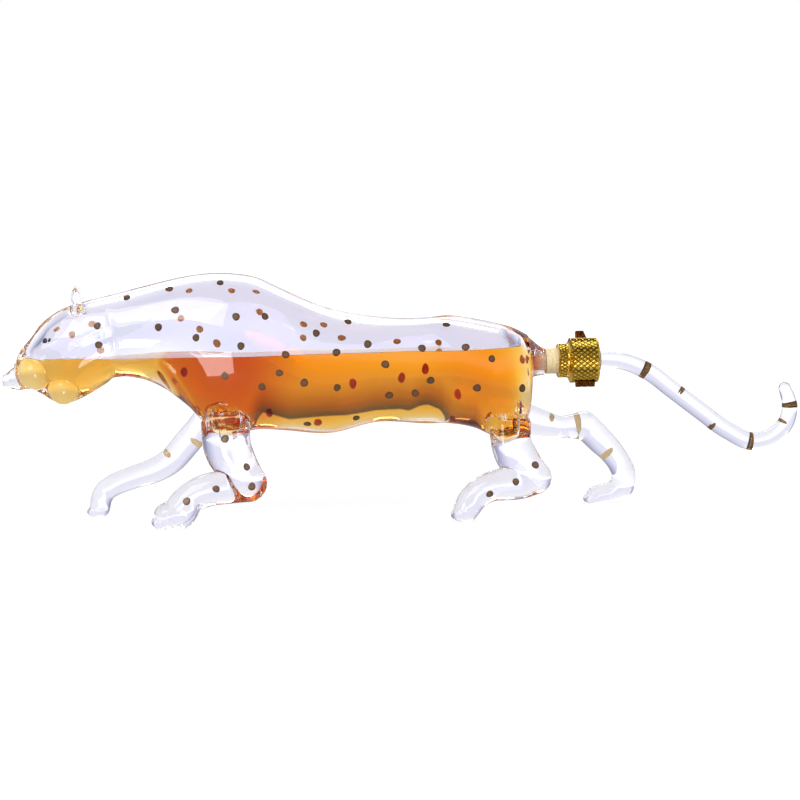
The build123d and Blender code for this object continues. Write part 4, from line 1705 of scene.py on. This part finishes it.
def turned(profile: Sequence[Pair], sides: int, axis_y: float = 0.0, axis_z: float = NECK_Z) -> Shape:
    """A closed profile turned round a line along X.

    Args:
        profile: X and radius of its points.
        sides: points round the line.
        axis_y: Y of the line.
        axis_z: height of the line.

    Returns:
        Points and faces.
    """
    table = np.array(profile)
    angle = round_angles(sides)
    return ring_grid(np.stack([
        np.broadcast_to(table[:, 0:1], (len(table), sides)),
        axis_y + table[:, 1:2] * np.cos(angle), axis_z + table[:, 1:2] * np.sin(angle),
    ], -1))


def rounded(corners: Sequence[Pair], radius: float, pieces: int = 5) -> list[Pair]:
    """A closed outline with each corner rounded by a curve through two points near it.

    Args:
        corners: the outline's corners in order.
        radius: how far from a corner the rounding starts.
        pieces: points in each rounding.

    Returns:
        The outline's points: the curve at each corner is a parabola from side to side.
    """
    outline = []
    table = np.array(corners, float)
    for index, corner in enumerate(table):
        ends = []
        for other in (table[index - 1], table[(index + 1) % len(table)]):
            share = min(radius / max(np.linalg.norm(other - corner), 1e-9), 0.45)
            ends.append(corner + (other - corner) * share)
        for t in np.linspace(0, 1, pieces):
            point = (1 - t) ** 2 * ends[0] + 2 * t * (1 - t) * corner + t * t * ends[1]
            outline.append(tuple(point))
    return outline


@dataclass
class Stopper:
    """The cork, the grey ring, and the core that stays as the CAD made it."""

    cork_end: float = 78.3
    cork_radius: float = 8.0
    cork_rounding: float = 0.45
    plug_radius: float = 5.95
    plug_taper: float = 0.5
    seam_behind: float = 3.6
    seam_half: float = 0.3
    seam_depth: float = 0.35
    stain: Pair = (1.4, 0.2)
    spigot_radius: float = 2.55
    spigot_x: float = 86.5
    ring_radius: float = 6.5
    ring_bore: float = 5.06
    ring_gap: float = 0.3
    ring_rounding: float = 0.5
    sides: int = 72

    def build(self) -> None:
        """Makes the cork with its shoulder and seam line, and the ring behind the collar."""
        seam = SHOULDER_X + self.seam_behind
        cork, faces = turned(rounded([
            (self.cork_end, self.plug_radius - self.plug_taper), (SHOULDER_X, self.plug_radius),
            (SHOULDER_X, self.cork_radius), (seam - self.seam_half, self.cork_radius),
            (seam, self.cork_radius - self.seam_depth), (seam + self.seam_half, self.cork_radius),
            (COLLAR_X, self.cork_radius), (COLLAR_X, self.spigot_radius),
            (self.spigot_x, self.spigot_radius), (self.spigot_x, 0.0), (self.cork_end, 0.0),
        ], self.cork_rounding), self.sides)
        dry = step(SHOULDER_X - self.stain[0], SHOULDER_X - self.stain[1], cork[:, 0])
        make_piece("cork_plug", (cork, faces), CORK, "stopper", ["cork"], crisp=35, shares={"dry": dry})
        ring_x = COLLAR_END_X + self.ring_gap
        ring = rounded([(ring_x, self.ring_bore), (ring_x, self.ring_radius),
                        (RING_END_X, self.ring_radius), (RING_END_X, self.ring_bore)],
                       self.ring_rounding)
        make_piece("grey_ring", turned(ring, self.sides), GREY_RUBBER, "stopper", ["tail_ring"],
                   crisp=35)
        dress(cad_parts["stopper_core"].data, CREAM_RESIN)


@dataclass
class Collar:
    """The gilt collar: two diamond-cut shells on a hinge, with a catch tab on top."""

    round_count: int = 28
    band_radius: float = 10.6
    drum_radius: float = 14.1
    sheet: float = 1.2
    relief: float = 0.55
    pitch: float = 3.87
    split_angle: float = 22.0
    seam_gap: float = 0.3
    knuckle_radius: float = 2.3
    pin_radius: float = 1.05
    hinge_y: float = -5.694
    hinge_z: float = 80.907
    hinge_x: float = 112.1
    knuckle_length: float = 3.8
    knuckle_pitch: float = 4.1
    steps: int = 4
    groove_share: float = 0.62
    cove_power: float = 2.2
    end_bore: float = 5.3
    end_rounding: float = 1.0
    room_gap: float = 0.3
    bar_sides: int = 40
    tab_start: float = 5.0
    tab_top: tuple[Pair, ...] = ((6.9, 14.5), (5.0, 19.7), (0, 19.7))
    tab_thick: float = 3.6
    lap: tuple[Pair, ...] = ((0, 14.4), (5.0, 14.4), (5.0, 15.8), (0, 15.8))
    lap_ends: Pair = (-0.6, 1.2)
    tab_bevel: float = 0.35

    def cut(self, x: Array, angle: Array, start: float) -> Array:
        """The diamond cut: 1 on the flat top of a diamond and 0 in the grooves.

        Args:
            x: places along the axis.
            angle: angles round it.
            start: X where the rows of diamonds begin.

        Returns:
            The height's share: the distance to the nearest of two families of slanted grooves.
        """
        u = (x - start) / self.pitch
        v = angle / (2 * np.pi) * self.round_count
        first, second = u + v, u - v
        edge = np.minimum(np.abs(first - np.round(first)), np.abs(second - np.round(second)))
        return np.clip(edge * 2 / self.groove_share, 0, 1)

    def shell(self) -> tuple[Array, list[list[int]], Array]:
        """The whole collar before it is parted.

        Returns:
            Points, faces and the relief's share at each point, which also sets the painted shade in the
            grooves. The outline runs over band, cove and drum and back inside; each cell of the grid
            has a middle point, so that the slanted grooves fall on edges.
        """
        cell = self.pitch / (2 * self.steps)
        band = COLLAR_X + 0.5 + np.arange(0, round((COVE_X - COLLAR_X - 0.9) / cell) + 1) * cell
        cove = np.linspace(band[-1], DRUM_X, 7)[1:]
        rise = (cove - band[-1]) / (DRUM_X - band[-1])
        drum = DRUM_X + cell + np.arange(0, int((COLLAR_END_X - DRUM_X - 1.2) / cell)) * cell
        turn = np.linspace(0, np.pi / 2, 5)[1:]
        wall = self.drum_radius - self.sheet - 0.4
        inner = np.array([
            (COLLAR_END_X, self.end_bore), (COLLAR_END_X - self.sheet, self.end_bore),
            (COLLAR_END_X - self.sheet, wall), (DRUM_X + self.sheet, wall),
            (DRUM_X + self.sheet, self.band_radius - self.sheet),
        ])
        x = np.concatenate([
            [COLLAR_X, COLLAR_X], band, cove, drum, COLLAR_END_X - 1 + np.sin(turn), inner[:, 0]
        ])
        base = np.concatenate([
            [self.band_radius - self.sheet, self.band_radius - 0.5],
            np.full(len(band), self.band_radius),
            self.band_radius + (self.drum_radius - self.band_radius) * rise**self.cove_power,
            np.full(len(drum), self.drum_radius),
            self.drum_radius - self.end_rounding + np.cos(turn), inner[:, 1],
        ])
        # The diamonds cover the band and the drum, but not the band's first ring
        share = np.concatenate([[0, 0, 0], np.ones(len(band) - 1), np.zeros(len(cove)),
                                np.ones(len(drum)), np.zeros(len(turn) + len(inner))])
        columns = self.round_count * 2 * self.steps
        angle = round_angles(columns)

        def at(places: Array, radii: Array, weight: Array, angles: Array) -> tuple[Array, Array]:
            """The surface's points and their shares of the relief.

            Args:
                places: the rings' X.
                radii: their radii.
                weight: how much relief each has.
                angles: the angles round them.

            Returns:
                The points and the shares.
            """
            level = self.cut(places[:, None], angles[None, :], DRUM_X)
            height = np.where(weight[:, None] > 0, level, 1.0)
            radius = radii[:, None] - self.relief * (1 - height) * weight[:, None]
            spread = np.stack([
                np.broadcast_to(places[:, None], radius.shape),
                radius * np.cos(angles), NECK_Z + radius * np.sin(angles),
            ], -1)
            # The share also paints shade: olive brown in the grooves, and a quarter of it on the plain
            # parts
            return spread, np.where(weight[:, None] > 0, level, 0.75) * np.ones_like(radius)

        corners, corner_share = at(x, base, share, angle)
        next_x, next_base, next_share = (np.roll(values, -1) for values in (x, base, share))
        middles, middle_share = at((x + next_x) / 2, (base + next_base) / 2,
                                   np.minimum(share, next_share), angle + np.pi / columns)
        rows = len(x)
        row, column = np.meshgrid(np.arange(rows), np.arange(columns), indexing="ij")
        below, after = (row + 1) % rows, (column + 1) % columns
        a, b = row * columns + column, row * columns + after
        c, d = below * columns + after, below * columns + column
        m = rows * columns + a
        faces = np.concatenate([np.stack(t, -1).reshape(-1, 3) for t in
                                ((a, b, m), (b, c, m), (c, d, m), (d, a, m))])
        points = np.vstack([corners.reshape(-1, 3), middles.reshape(-1, 3)])
        return points, faces.tolist(), np.concatenate([corner_share.ravel(), middle_share.ravel()])

    def seam_axes(self) -> tuple[Array, Array]:
        """The unit vectors out of the seam's plane towards the front half, and up along it."""
        tilt = math.radians(self.split_angle)
        out = np.array([0.0, -math.cos(tilt), math.sin(tilt)])
        return out, np.array([0.0, math.sin(tilt), math.cos(tilt)])

    def room(self, number: int) -> Object:
        """A bar a little larger than a knuckle, which cuts room for it in the other half.

        Args:
            number: the knuckle's number, 0 in the middle.

        Returns:
            The bar, its faces turned outwards.
        """
        middle = self.hinge_x + number * self.knuckle_pitch
        reach = self.knuckle_length / 2 + self.room_gap
        radius = self.knuckle_radius + self.room_gap
        angle = round_angles(self.bar_sides)
        rings = np.stack([
            np.stack([np.full(self.bar_sides, x), self.hinge_y + radius * np.cos(angle),
                      self.hinge_z + radius * np.sin(angle)], -1)
            for x in (middle - reach, middle + reach)
        ])
        mesh = new_mesh("room", closed_grid(rings))
        with opened(mesh):
            return new_object("room", mesh)

    def half(self, name: str, node: str, body: str, sign: int, others: Sequence[int]) -> None:
        """Parts the shell along the seam and clears room for the other half's knuckles.

        Args:
            name: the piece's name.
            node: the CAD node it stands for.
            body: the body it rides on.
            sign: 1 for the half towards the front, -1 for the other.
            others: numbers of the other half's knuckles.
        """
        points, faces, relief = self.shell()
        mesh = new_mesh(name, (points, faces), {"relief": relief})
        out = self.seam_axes()[0] * sign
        start = (np.array([0.0, 0.0, NECK_Z]) + out * self.seam_gap / 2) * MILLIMETRE
        with opened(mesh) as work:
            bmesh.ops.recalc_face_normals(work, faces=work.faces)
            geometry = list(work.verts) + list(work.edges) + list(work.faces)
            bmesh.ops.bisect_plane(work, geom=geometry, dist=1e-8, plane_co=start, plane_no=out,
                                   clear_inner=True)
            edges = [edge for edge in work.edges if edge.is_boundary]
            bmesh.ops.holes_fill(work, edges=edges, sides=0)
            bmesh.ops.triangulate(work, faces=[face for face in work.faces if len(face.verts) > 4])
        piece = new_object(name, mesh)
        rooms = [self.room(number) for number in others]
        for room in rooms:
            cut = piece.modifiers.new("room", "BOOLEAN")
            cut.operation = "DIFFERENCE"
            cut.solver = "EXACT"
            cut.object = room
        settle(piece)
        for room in rooms:
            bpy.data.objects.remove(room)
        declare(piece, GILT_BRASS, body, [node])

    def knuckles(self, name: str, body: str, numbers: Sequence[int]) -> None:
        """The hinge's barrels of one half, with rounded rims and the pin's hole.

        Args:
            name: the piece's name.
            body: the body it rides on.
            numbers: the barrels' numbers, 0 in the middle.
        """
        parts = []
        for number in numbers:
            middle = self.hinge_x + number * self.knuckle_pitch
            low, high = middle - self.knuckle_length / 2, middle + self.knuckle_length / 2
            profile = rounded([(low, self.pin_radius), (low, self.knuckle_radius),
                               (high, self.knuckle_radius), (high, self.pin_radius)], 0.35)
            parts.append(turned(profile, self.bar_sides, self.hinge_y, self.hinge_z))
        make_piece(name, join(parts), DARK_BRASS, body, crisp=40)

    def tab(self) -> None:
        """The catch tab on top: a bevelled wedge on the rear half that laps over the seam."""
        out, up = self.seam_axes()
        foot = self.drum_radius - 0.4
        outline = [(0, foot), (self.tab_top[0][0], foot), *self.tab_top]

        def prism(corners: Sequence[Pair], near: float, far: float) -> Shape:
            """An outline along X and up, carried out of the seam's plane.

            Args:
                corners: the outline.
                near: where it starts.
                far: where it ends.

            Returns:
                Points and faces.
            """
            rings = [
                np.stack([np.array([DRUM_X + self.tab_start + a, 0, NECK_Z]) + up * b + out * depth
                          for a, b in corners]) for depth in (near, far)
            ]
            count = len(corners)
            sides = [[i, (i + 1) % count, count + (i + 1) % count, count + i] for i in range(count)]
            ends = [list(range(count)), list(range(2 * count - 1, count - 1, -1))]
            return np.vstack(rings), sides + ends

        shape = join([prism(outline, -self.tab_thick, 0.0), prism(self.lap, *self.lap_ends)])
        piece = make_piece("catch_peg", shape, DARK_BRASS, "stopper", ["catch_tab"], crisp=35)
        bevel = piece.modifiers.new("rubbed_edges", "BEVEL")
        bevel.width = self.tab_bevel * MILLIMETRE
        bevel.segments = 3
        settle(piece)

    def build(self) -> None:
        """Makes both halves, their knuckles, the tab and the pin's finish."""
        self.half("collar_front", "collar_front_half", "collar_front", 1, (-1, 1))
        self.half("collar_rear", "collar_rear_half", "stopper", -1, (0,))
        self.knuckles("front_knuckle", "collar_front", (0,))
        self.knuckles("rear_knuckles", "stopper", (-1, 1))
        self.tab()
        dress(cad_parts["hinge_pin"].data, DARK_BRASS)


def facing(place: Sequence[float], back: Array, roll: float = 0.0) -> Matrix:
    """Where a camera or lamp stands and how it is turned.

    Args:
        place: its place in metres.
        back: the unit vector from what it looks at towards it.
        roll: its turn round that line in radians.

    Returns:
        The matrix, its columns right, up, back and the place.
    """
    right = np.cross([0, 0, 1], back)
    right /= np.linalg.norm(right)
    up = np.cross(back, right)
    matrix = np.eye(4)
    matrix[:3, 0] = right * math.cos(roll) - up * math.sin(roll)
    matrix[:3, 1] = right * math.sin(roll) + up * math.cos(roll)
    matrix[:3, 2], matrix[:3, 3] = back, place
    return Matrix(matrix.tolist())


# The lamps in metres and watts: name, place, width, height and power
LAMPS = (("key", (-0.7, -0.9, 1.1), 0.9, 0.9, 9.0), ("fill", (0.9, -0.8, 0.7), 0.7, 0.7, 4.0),
         ("back", (0.0, 1.0, 1.1), 1.2, 0.4, 6.0), ("card", (-0.175, -0.22, 0.03), 0.09, 0.09, 0.18))


@dataclass
class Studio:
    """The camera at the photograph's angle, the pale floor, the soft lamps and the white room.

    Its sizes are in metres and degrees, and its levels of grey are linear.
    """

    azimuth: float = -4.4
    elevation: float = 5.1
    distance: float = 1.4
    roll: float = 0.95
    half_view: float = 0.25
    sensor: float = 36.0
    bounces: int = 48
    target: Triple = (-0.0038, 0.0, 0.0726)
    lamps_aim: Triple = (0.0, 0.0, 0.07)
    floor_half: float = 6.0
    floor_z: float = -0.00005
    floor_matt: Colour = (0.25, 0.25, 0.25, 1.0)
    floor_deep: Colour = (0.3, 0.3, 0.3, 1.0)
    floor_gloss: Colour = (0.2, 0.2, 0.2, 1.0)
    room_light: Colour = (0.62, 0.62, 0.66, 1.0)

    def camera(self) -> None:
        """Puts the camera where the photograph was taken from."""
        a, e = math.radians(self.azimuth), math.radians(self.elevation)
        back = np.array([math.sin(a) * math.cos(e), -math.cos(a) * math.cos(e), math.sin(e)])
        data = bpy.data.cameras.new("camera")
        data.sensor_width = self.sensor
        data.lens = self.sensor / 2 * self.distance / self.half_view
        data.clip_start, data.clip_end = 0.01, 50.0
        camera = new_object("camera", data)
        place = np.array(self.target) + back * self.distance
        camera.matrix_world = facing(place, back, math.radians(self.roll))
        bpy.context.scene.camera = camera

    def floor(self) -> None:
        """A pale floor that shows white to the eye, to metal and to glass, and keeps shadows."""
        half, low = self.floor_half, self.floor_z
        mesh = bpy.data.meshes.new("floor")
        mesh.from_pydata([(-half, -half, low), (half, -half, low), (half, half, low),
                          (-half, half, low)], [], [(0, 1, 2, 3)])
        material = bpy.data.materials.new("pale_floor")
        add = partial(add_node, cleared_tree(material))
        emission = add("Emission", {"Strength": 1.0}, {"Color": (self.seen(add), MIXED)})
        matt = add("BsdfDiffuse", {"Color": self.floor_matt})
        both = add("AddShader", None, {0: (emission, 0), 1: (matt, 0)})
        add("OutputMaterial", None, {"Surface": (both, 0)})
        mesh.materials.append(material)
        new_object("floor", mesh)

    def seen(self, add: Adder) -> Node:
        """The floor's own white, in bands along Y.

        The eye sees it white, a little less where the lamps add the rest. Clear glass shows it
        white near the object, lavender far behind and dim in front.

        Args:
            add: adds a node to the floor's material.

        Returns:
            The Mix node that gives the colour.
        """
        path = add("LightPath")
        place = add("TexCoord")
        axes = add("SeparateXYZ", None, {0: (place, "Object")})
        band = add("MapRange", {"From Min": -1.0, "From Max": 1.5}, {"Value": (axes, "Y")})
        eye = add("ValToRGB", None, {0: (band, 0)},
                  stops=((0.0, WHITE), (0.28, "E6E6E6"), (0.56, "E6E6E6"), (0.9, WHITE)))
        bands = add("ValToRGB", None, {0: (band, 0)}, stops=(
            (0.28, "30303A"), (0.37, "B0B0B8"), (0.40, "D0D0D6"), (0.44, "D8D8DE"),
            (0.48, "F0F0F4"), (0.60, "F4F4F8"), (0.86, "E8E8FA"),
        ))
        inside = add("Math", {1: 0.0}, {0: (path, "Diffuse Depth")}, operation="GREATER_THAN")
        through = add("Mix", {SECOND: linear("F2F2F4")}, {FACTOR: (inside, 0), FIRST: (bands, 0)},
                      **RGBA)
        gloss = add("Mix", {FIRST: self.floor_deep, SECOND: self.floor_gloss},
                    {FACTOR: (path, "Is Glossy Ray")}, **RGBA)
        glass = add("Mix", None, {FACTOR: (path, "Is Transmission Ray"), FIRST: (gloss, MIXED),
                                  SECOND: (through, MIXED)}, **RGBA)
        return add("Mix", None,
                   {FACTOR: (path, "Is Camera Ray"), FIRST: (glass, MIXED), SECOND: (eye, 0)}, **RGBA)

    def room(self) -> None:
        """The white room: lavender overhead, with dim bands high up and at both ends, which draw
        the edges of clear glass, and plain white to the eye."""
        world = bpy.data.worlds.new("white_room")
        bpy.context.scene.world = world
        add = partial(add_node, cleared_tree(world))
        place = add("TexCoord")
        axes = add("SeparateXYZ", None, {0: (place, "Generated")})
        height = add("ValToRGB", None, {0: (axes, "Z")}, stops=(
            (0.0, "F2F2FE"), (0.10, "F0F0FC"), (0.24, "F4F4FC"), (0.42, "FCFCFF"), (0.50, WHITE),
            (0.85, WHITE),
        ))
        ends = add("Math", None, {0: (axes, "X")}, operation="ABSOLUTE")
        sides = add("ValToRGB", None, {0: (ends, 0)}, stops=(
            (0.0, WHITE), (0.35, "FAFAFF"), (0.62, "C6C6DC"), (0.82, "8C8CA0"), (1.0, "B8B8CC"),
        ))
        depth = add("MapRange", {"From Min": -1.0}, {"Value": (axes, "Y")})
        behind = add("ValToRGB", None, {0: (depth, 0)},
                     stops=((0.30, "4A4A58"), (0.42, "6A6A7A"), (0.54, WHITE)))
        backdrop = add("Mix", {FACTOR: 1.0}, {FIRST: (height, 0), SECOND: (sides, 0)},
                       blend_type="MULTIPLY", **RGBA)
        path = add("LightPath")
        seen = add("Math", {1: 0.5}, {0: (path, "Diffuse Depth")}, operation="LESS_THAN")
        mixed = add("Mix", None, {FACTOR: (seen, 0), FIRST: (backdrop, MIXED), SECOND: (behind, 0)},
                    blend_type="MULTIPLY", **RGBA)
        boxes = add("ValToRGB", None, {0: (axes, "Z")}, stops=(
            (0.0, "6E6E7A"), (0.20, "7A7A88"), (0.34, "F4F4FA"), (0.55, "F4F4FA"),
            (0.68, "6C6C7C"), (1.0, "565664"),
        ))
        mirrored = add("Mix", {FIRST: self.room_light},
                       {FACTOR: (path, "Is Glossy Ray"), SECOND: (boxes, 0)}, **RGBA)
        lit = add("Mix", None, {FACTOR: (path, "Is Transmission Ray"), FIRST: (mirrored, MIXED),
                                SECOND: (mixed, MIXED)}, **RGBA)
        plain = add("Mix", {SECOND: linear(WHITE)},
                    {FACTOR: (path, "Is Camera Ray"), FIRST: (lit, MIXED)}, **RGBA)
        background = add("Background", {"Strength": 1.0}, {"Color": (plain, MIXED)})
        add("OutputWorld", None, {"Surface": (background, 0)})

    def lamps(self) -> None:
        """A soft key from the upper left in front, a fill from the right, a strip behind, and a
        small card low in front, which the chest mirrors."""
        for name, place, width, height, power in LAMPS:
            data = bpy.data.lights.new(name, "AREA")
            data.shape = "RECTANGLE"
            data.size, data.size_y, data.energy = width, height, power
            away = np.array(place) - np.array(self.lamps_aim)
            lamp = new_object(name, data)
            lamp.matrix_world = facing(place, away / np.linalg.norm(away))
            lamp.visible_camera = False
            lamp.visible_glossy = name != "fill"

    def build(self) -> None:
        """Sets up everything that isn't the object."""
        self.camera()
        self.floor()
        self.room()
        self.lamps()
        bpy.context.scene.view_settings.view_transform = "Standard"
        cycles = bpy.context.scene.cycles
        cycles.max_bounces = self.bounces
        cycles.transmission_bounces = self.bounces
        cycles.glossy_bounces = self.bounces


def main() -> None:
    """Builds the decanter piece by piece, in the order of its making."""
    logging.basicConfig(level=logging.INFO, format="%(message)s")
    Studio().build()
    blown = GlassBody().build()
    Filling().build()
    Head().build(blown)
    limbs = {name: Limb(name).build() for name in LEG_RUNS}
    for limb in limbs.values():
        weld(blown, limb)
    coats = {Side.LEFT: LEFT_SPOTS, Side.RIGHT: RIGHT_SPOTS}
    for seed, (side, places) in enumerate(coats.items(), 3):
        word = side.name.lower()
        EnamelSpots(word + "_coat_spots", word + "_side_spots", places, blown, side, seed=seed).build()
    for side in Side:
        word = side.name.lower()
        EnamelSpots(word + "_pupil", word + "_eye", [EYE], blown, side, diameter=3.1, proud=0.55,
                    painted_centre_light=0.06, finish=BLACK_ENAMEL, seed=5).build()
    for seed, (name, limb) in enumerate(limbs.items(), 10):
        side = Side.LEFT if name.endswith("left") else Side.RIGHT
        EnamelSpots(name + "_marks", name + "_leg_spots", LEG_SPOTS[name], limb, side,
                    finish=LEG_ENAMEL, seed=seed).build()
    Stopper().build()
    Collar().build()
    TailRod().build()


if __name__ == "__main__":
    main()
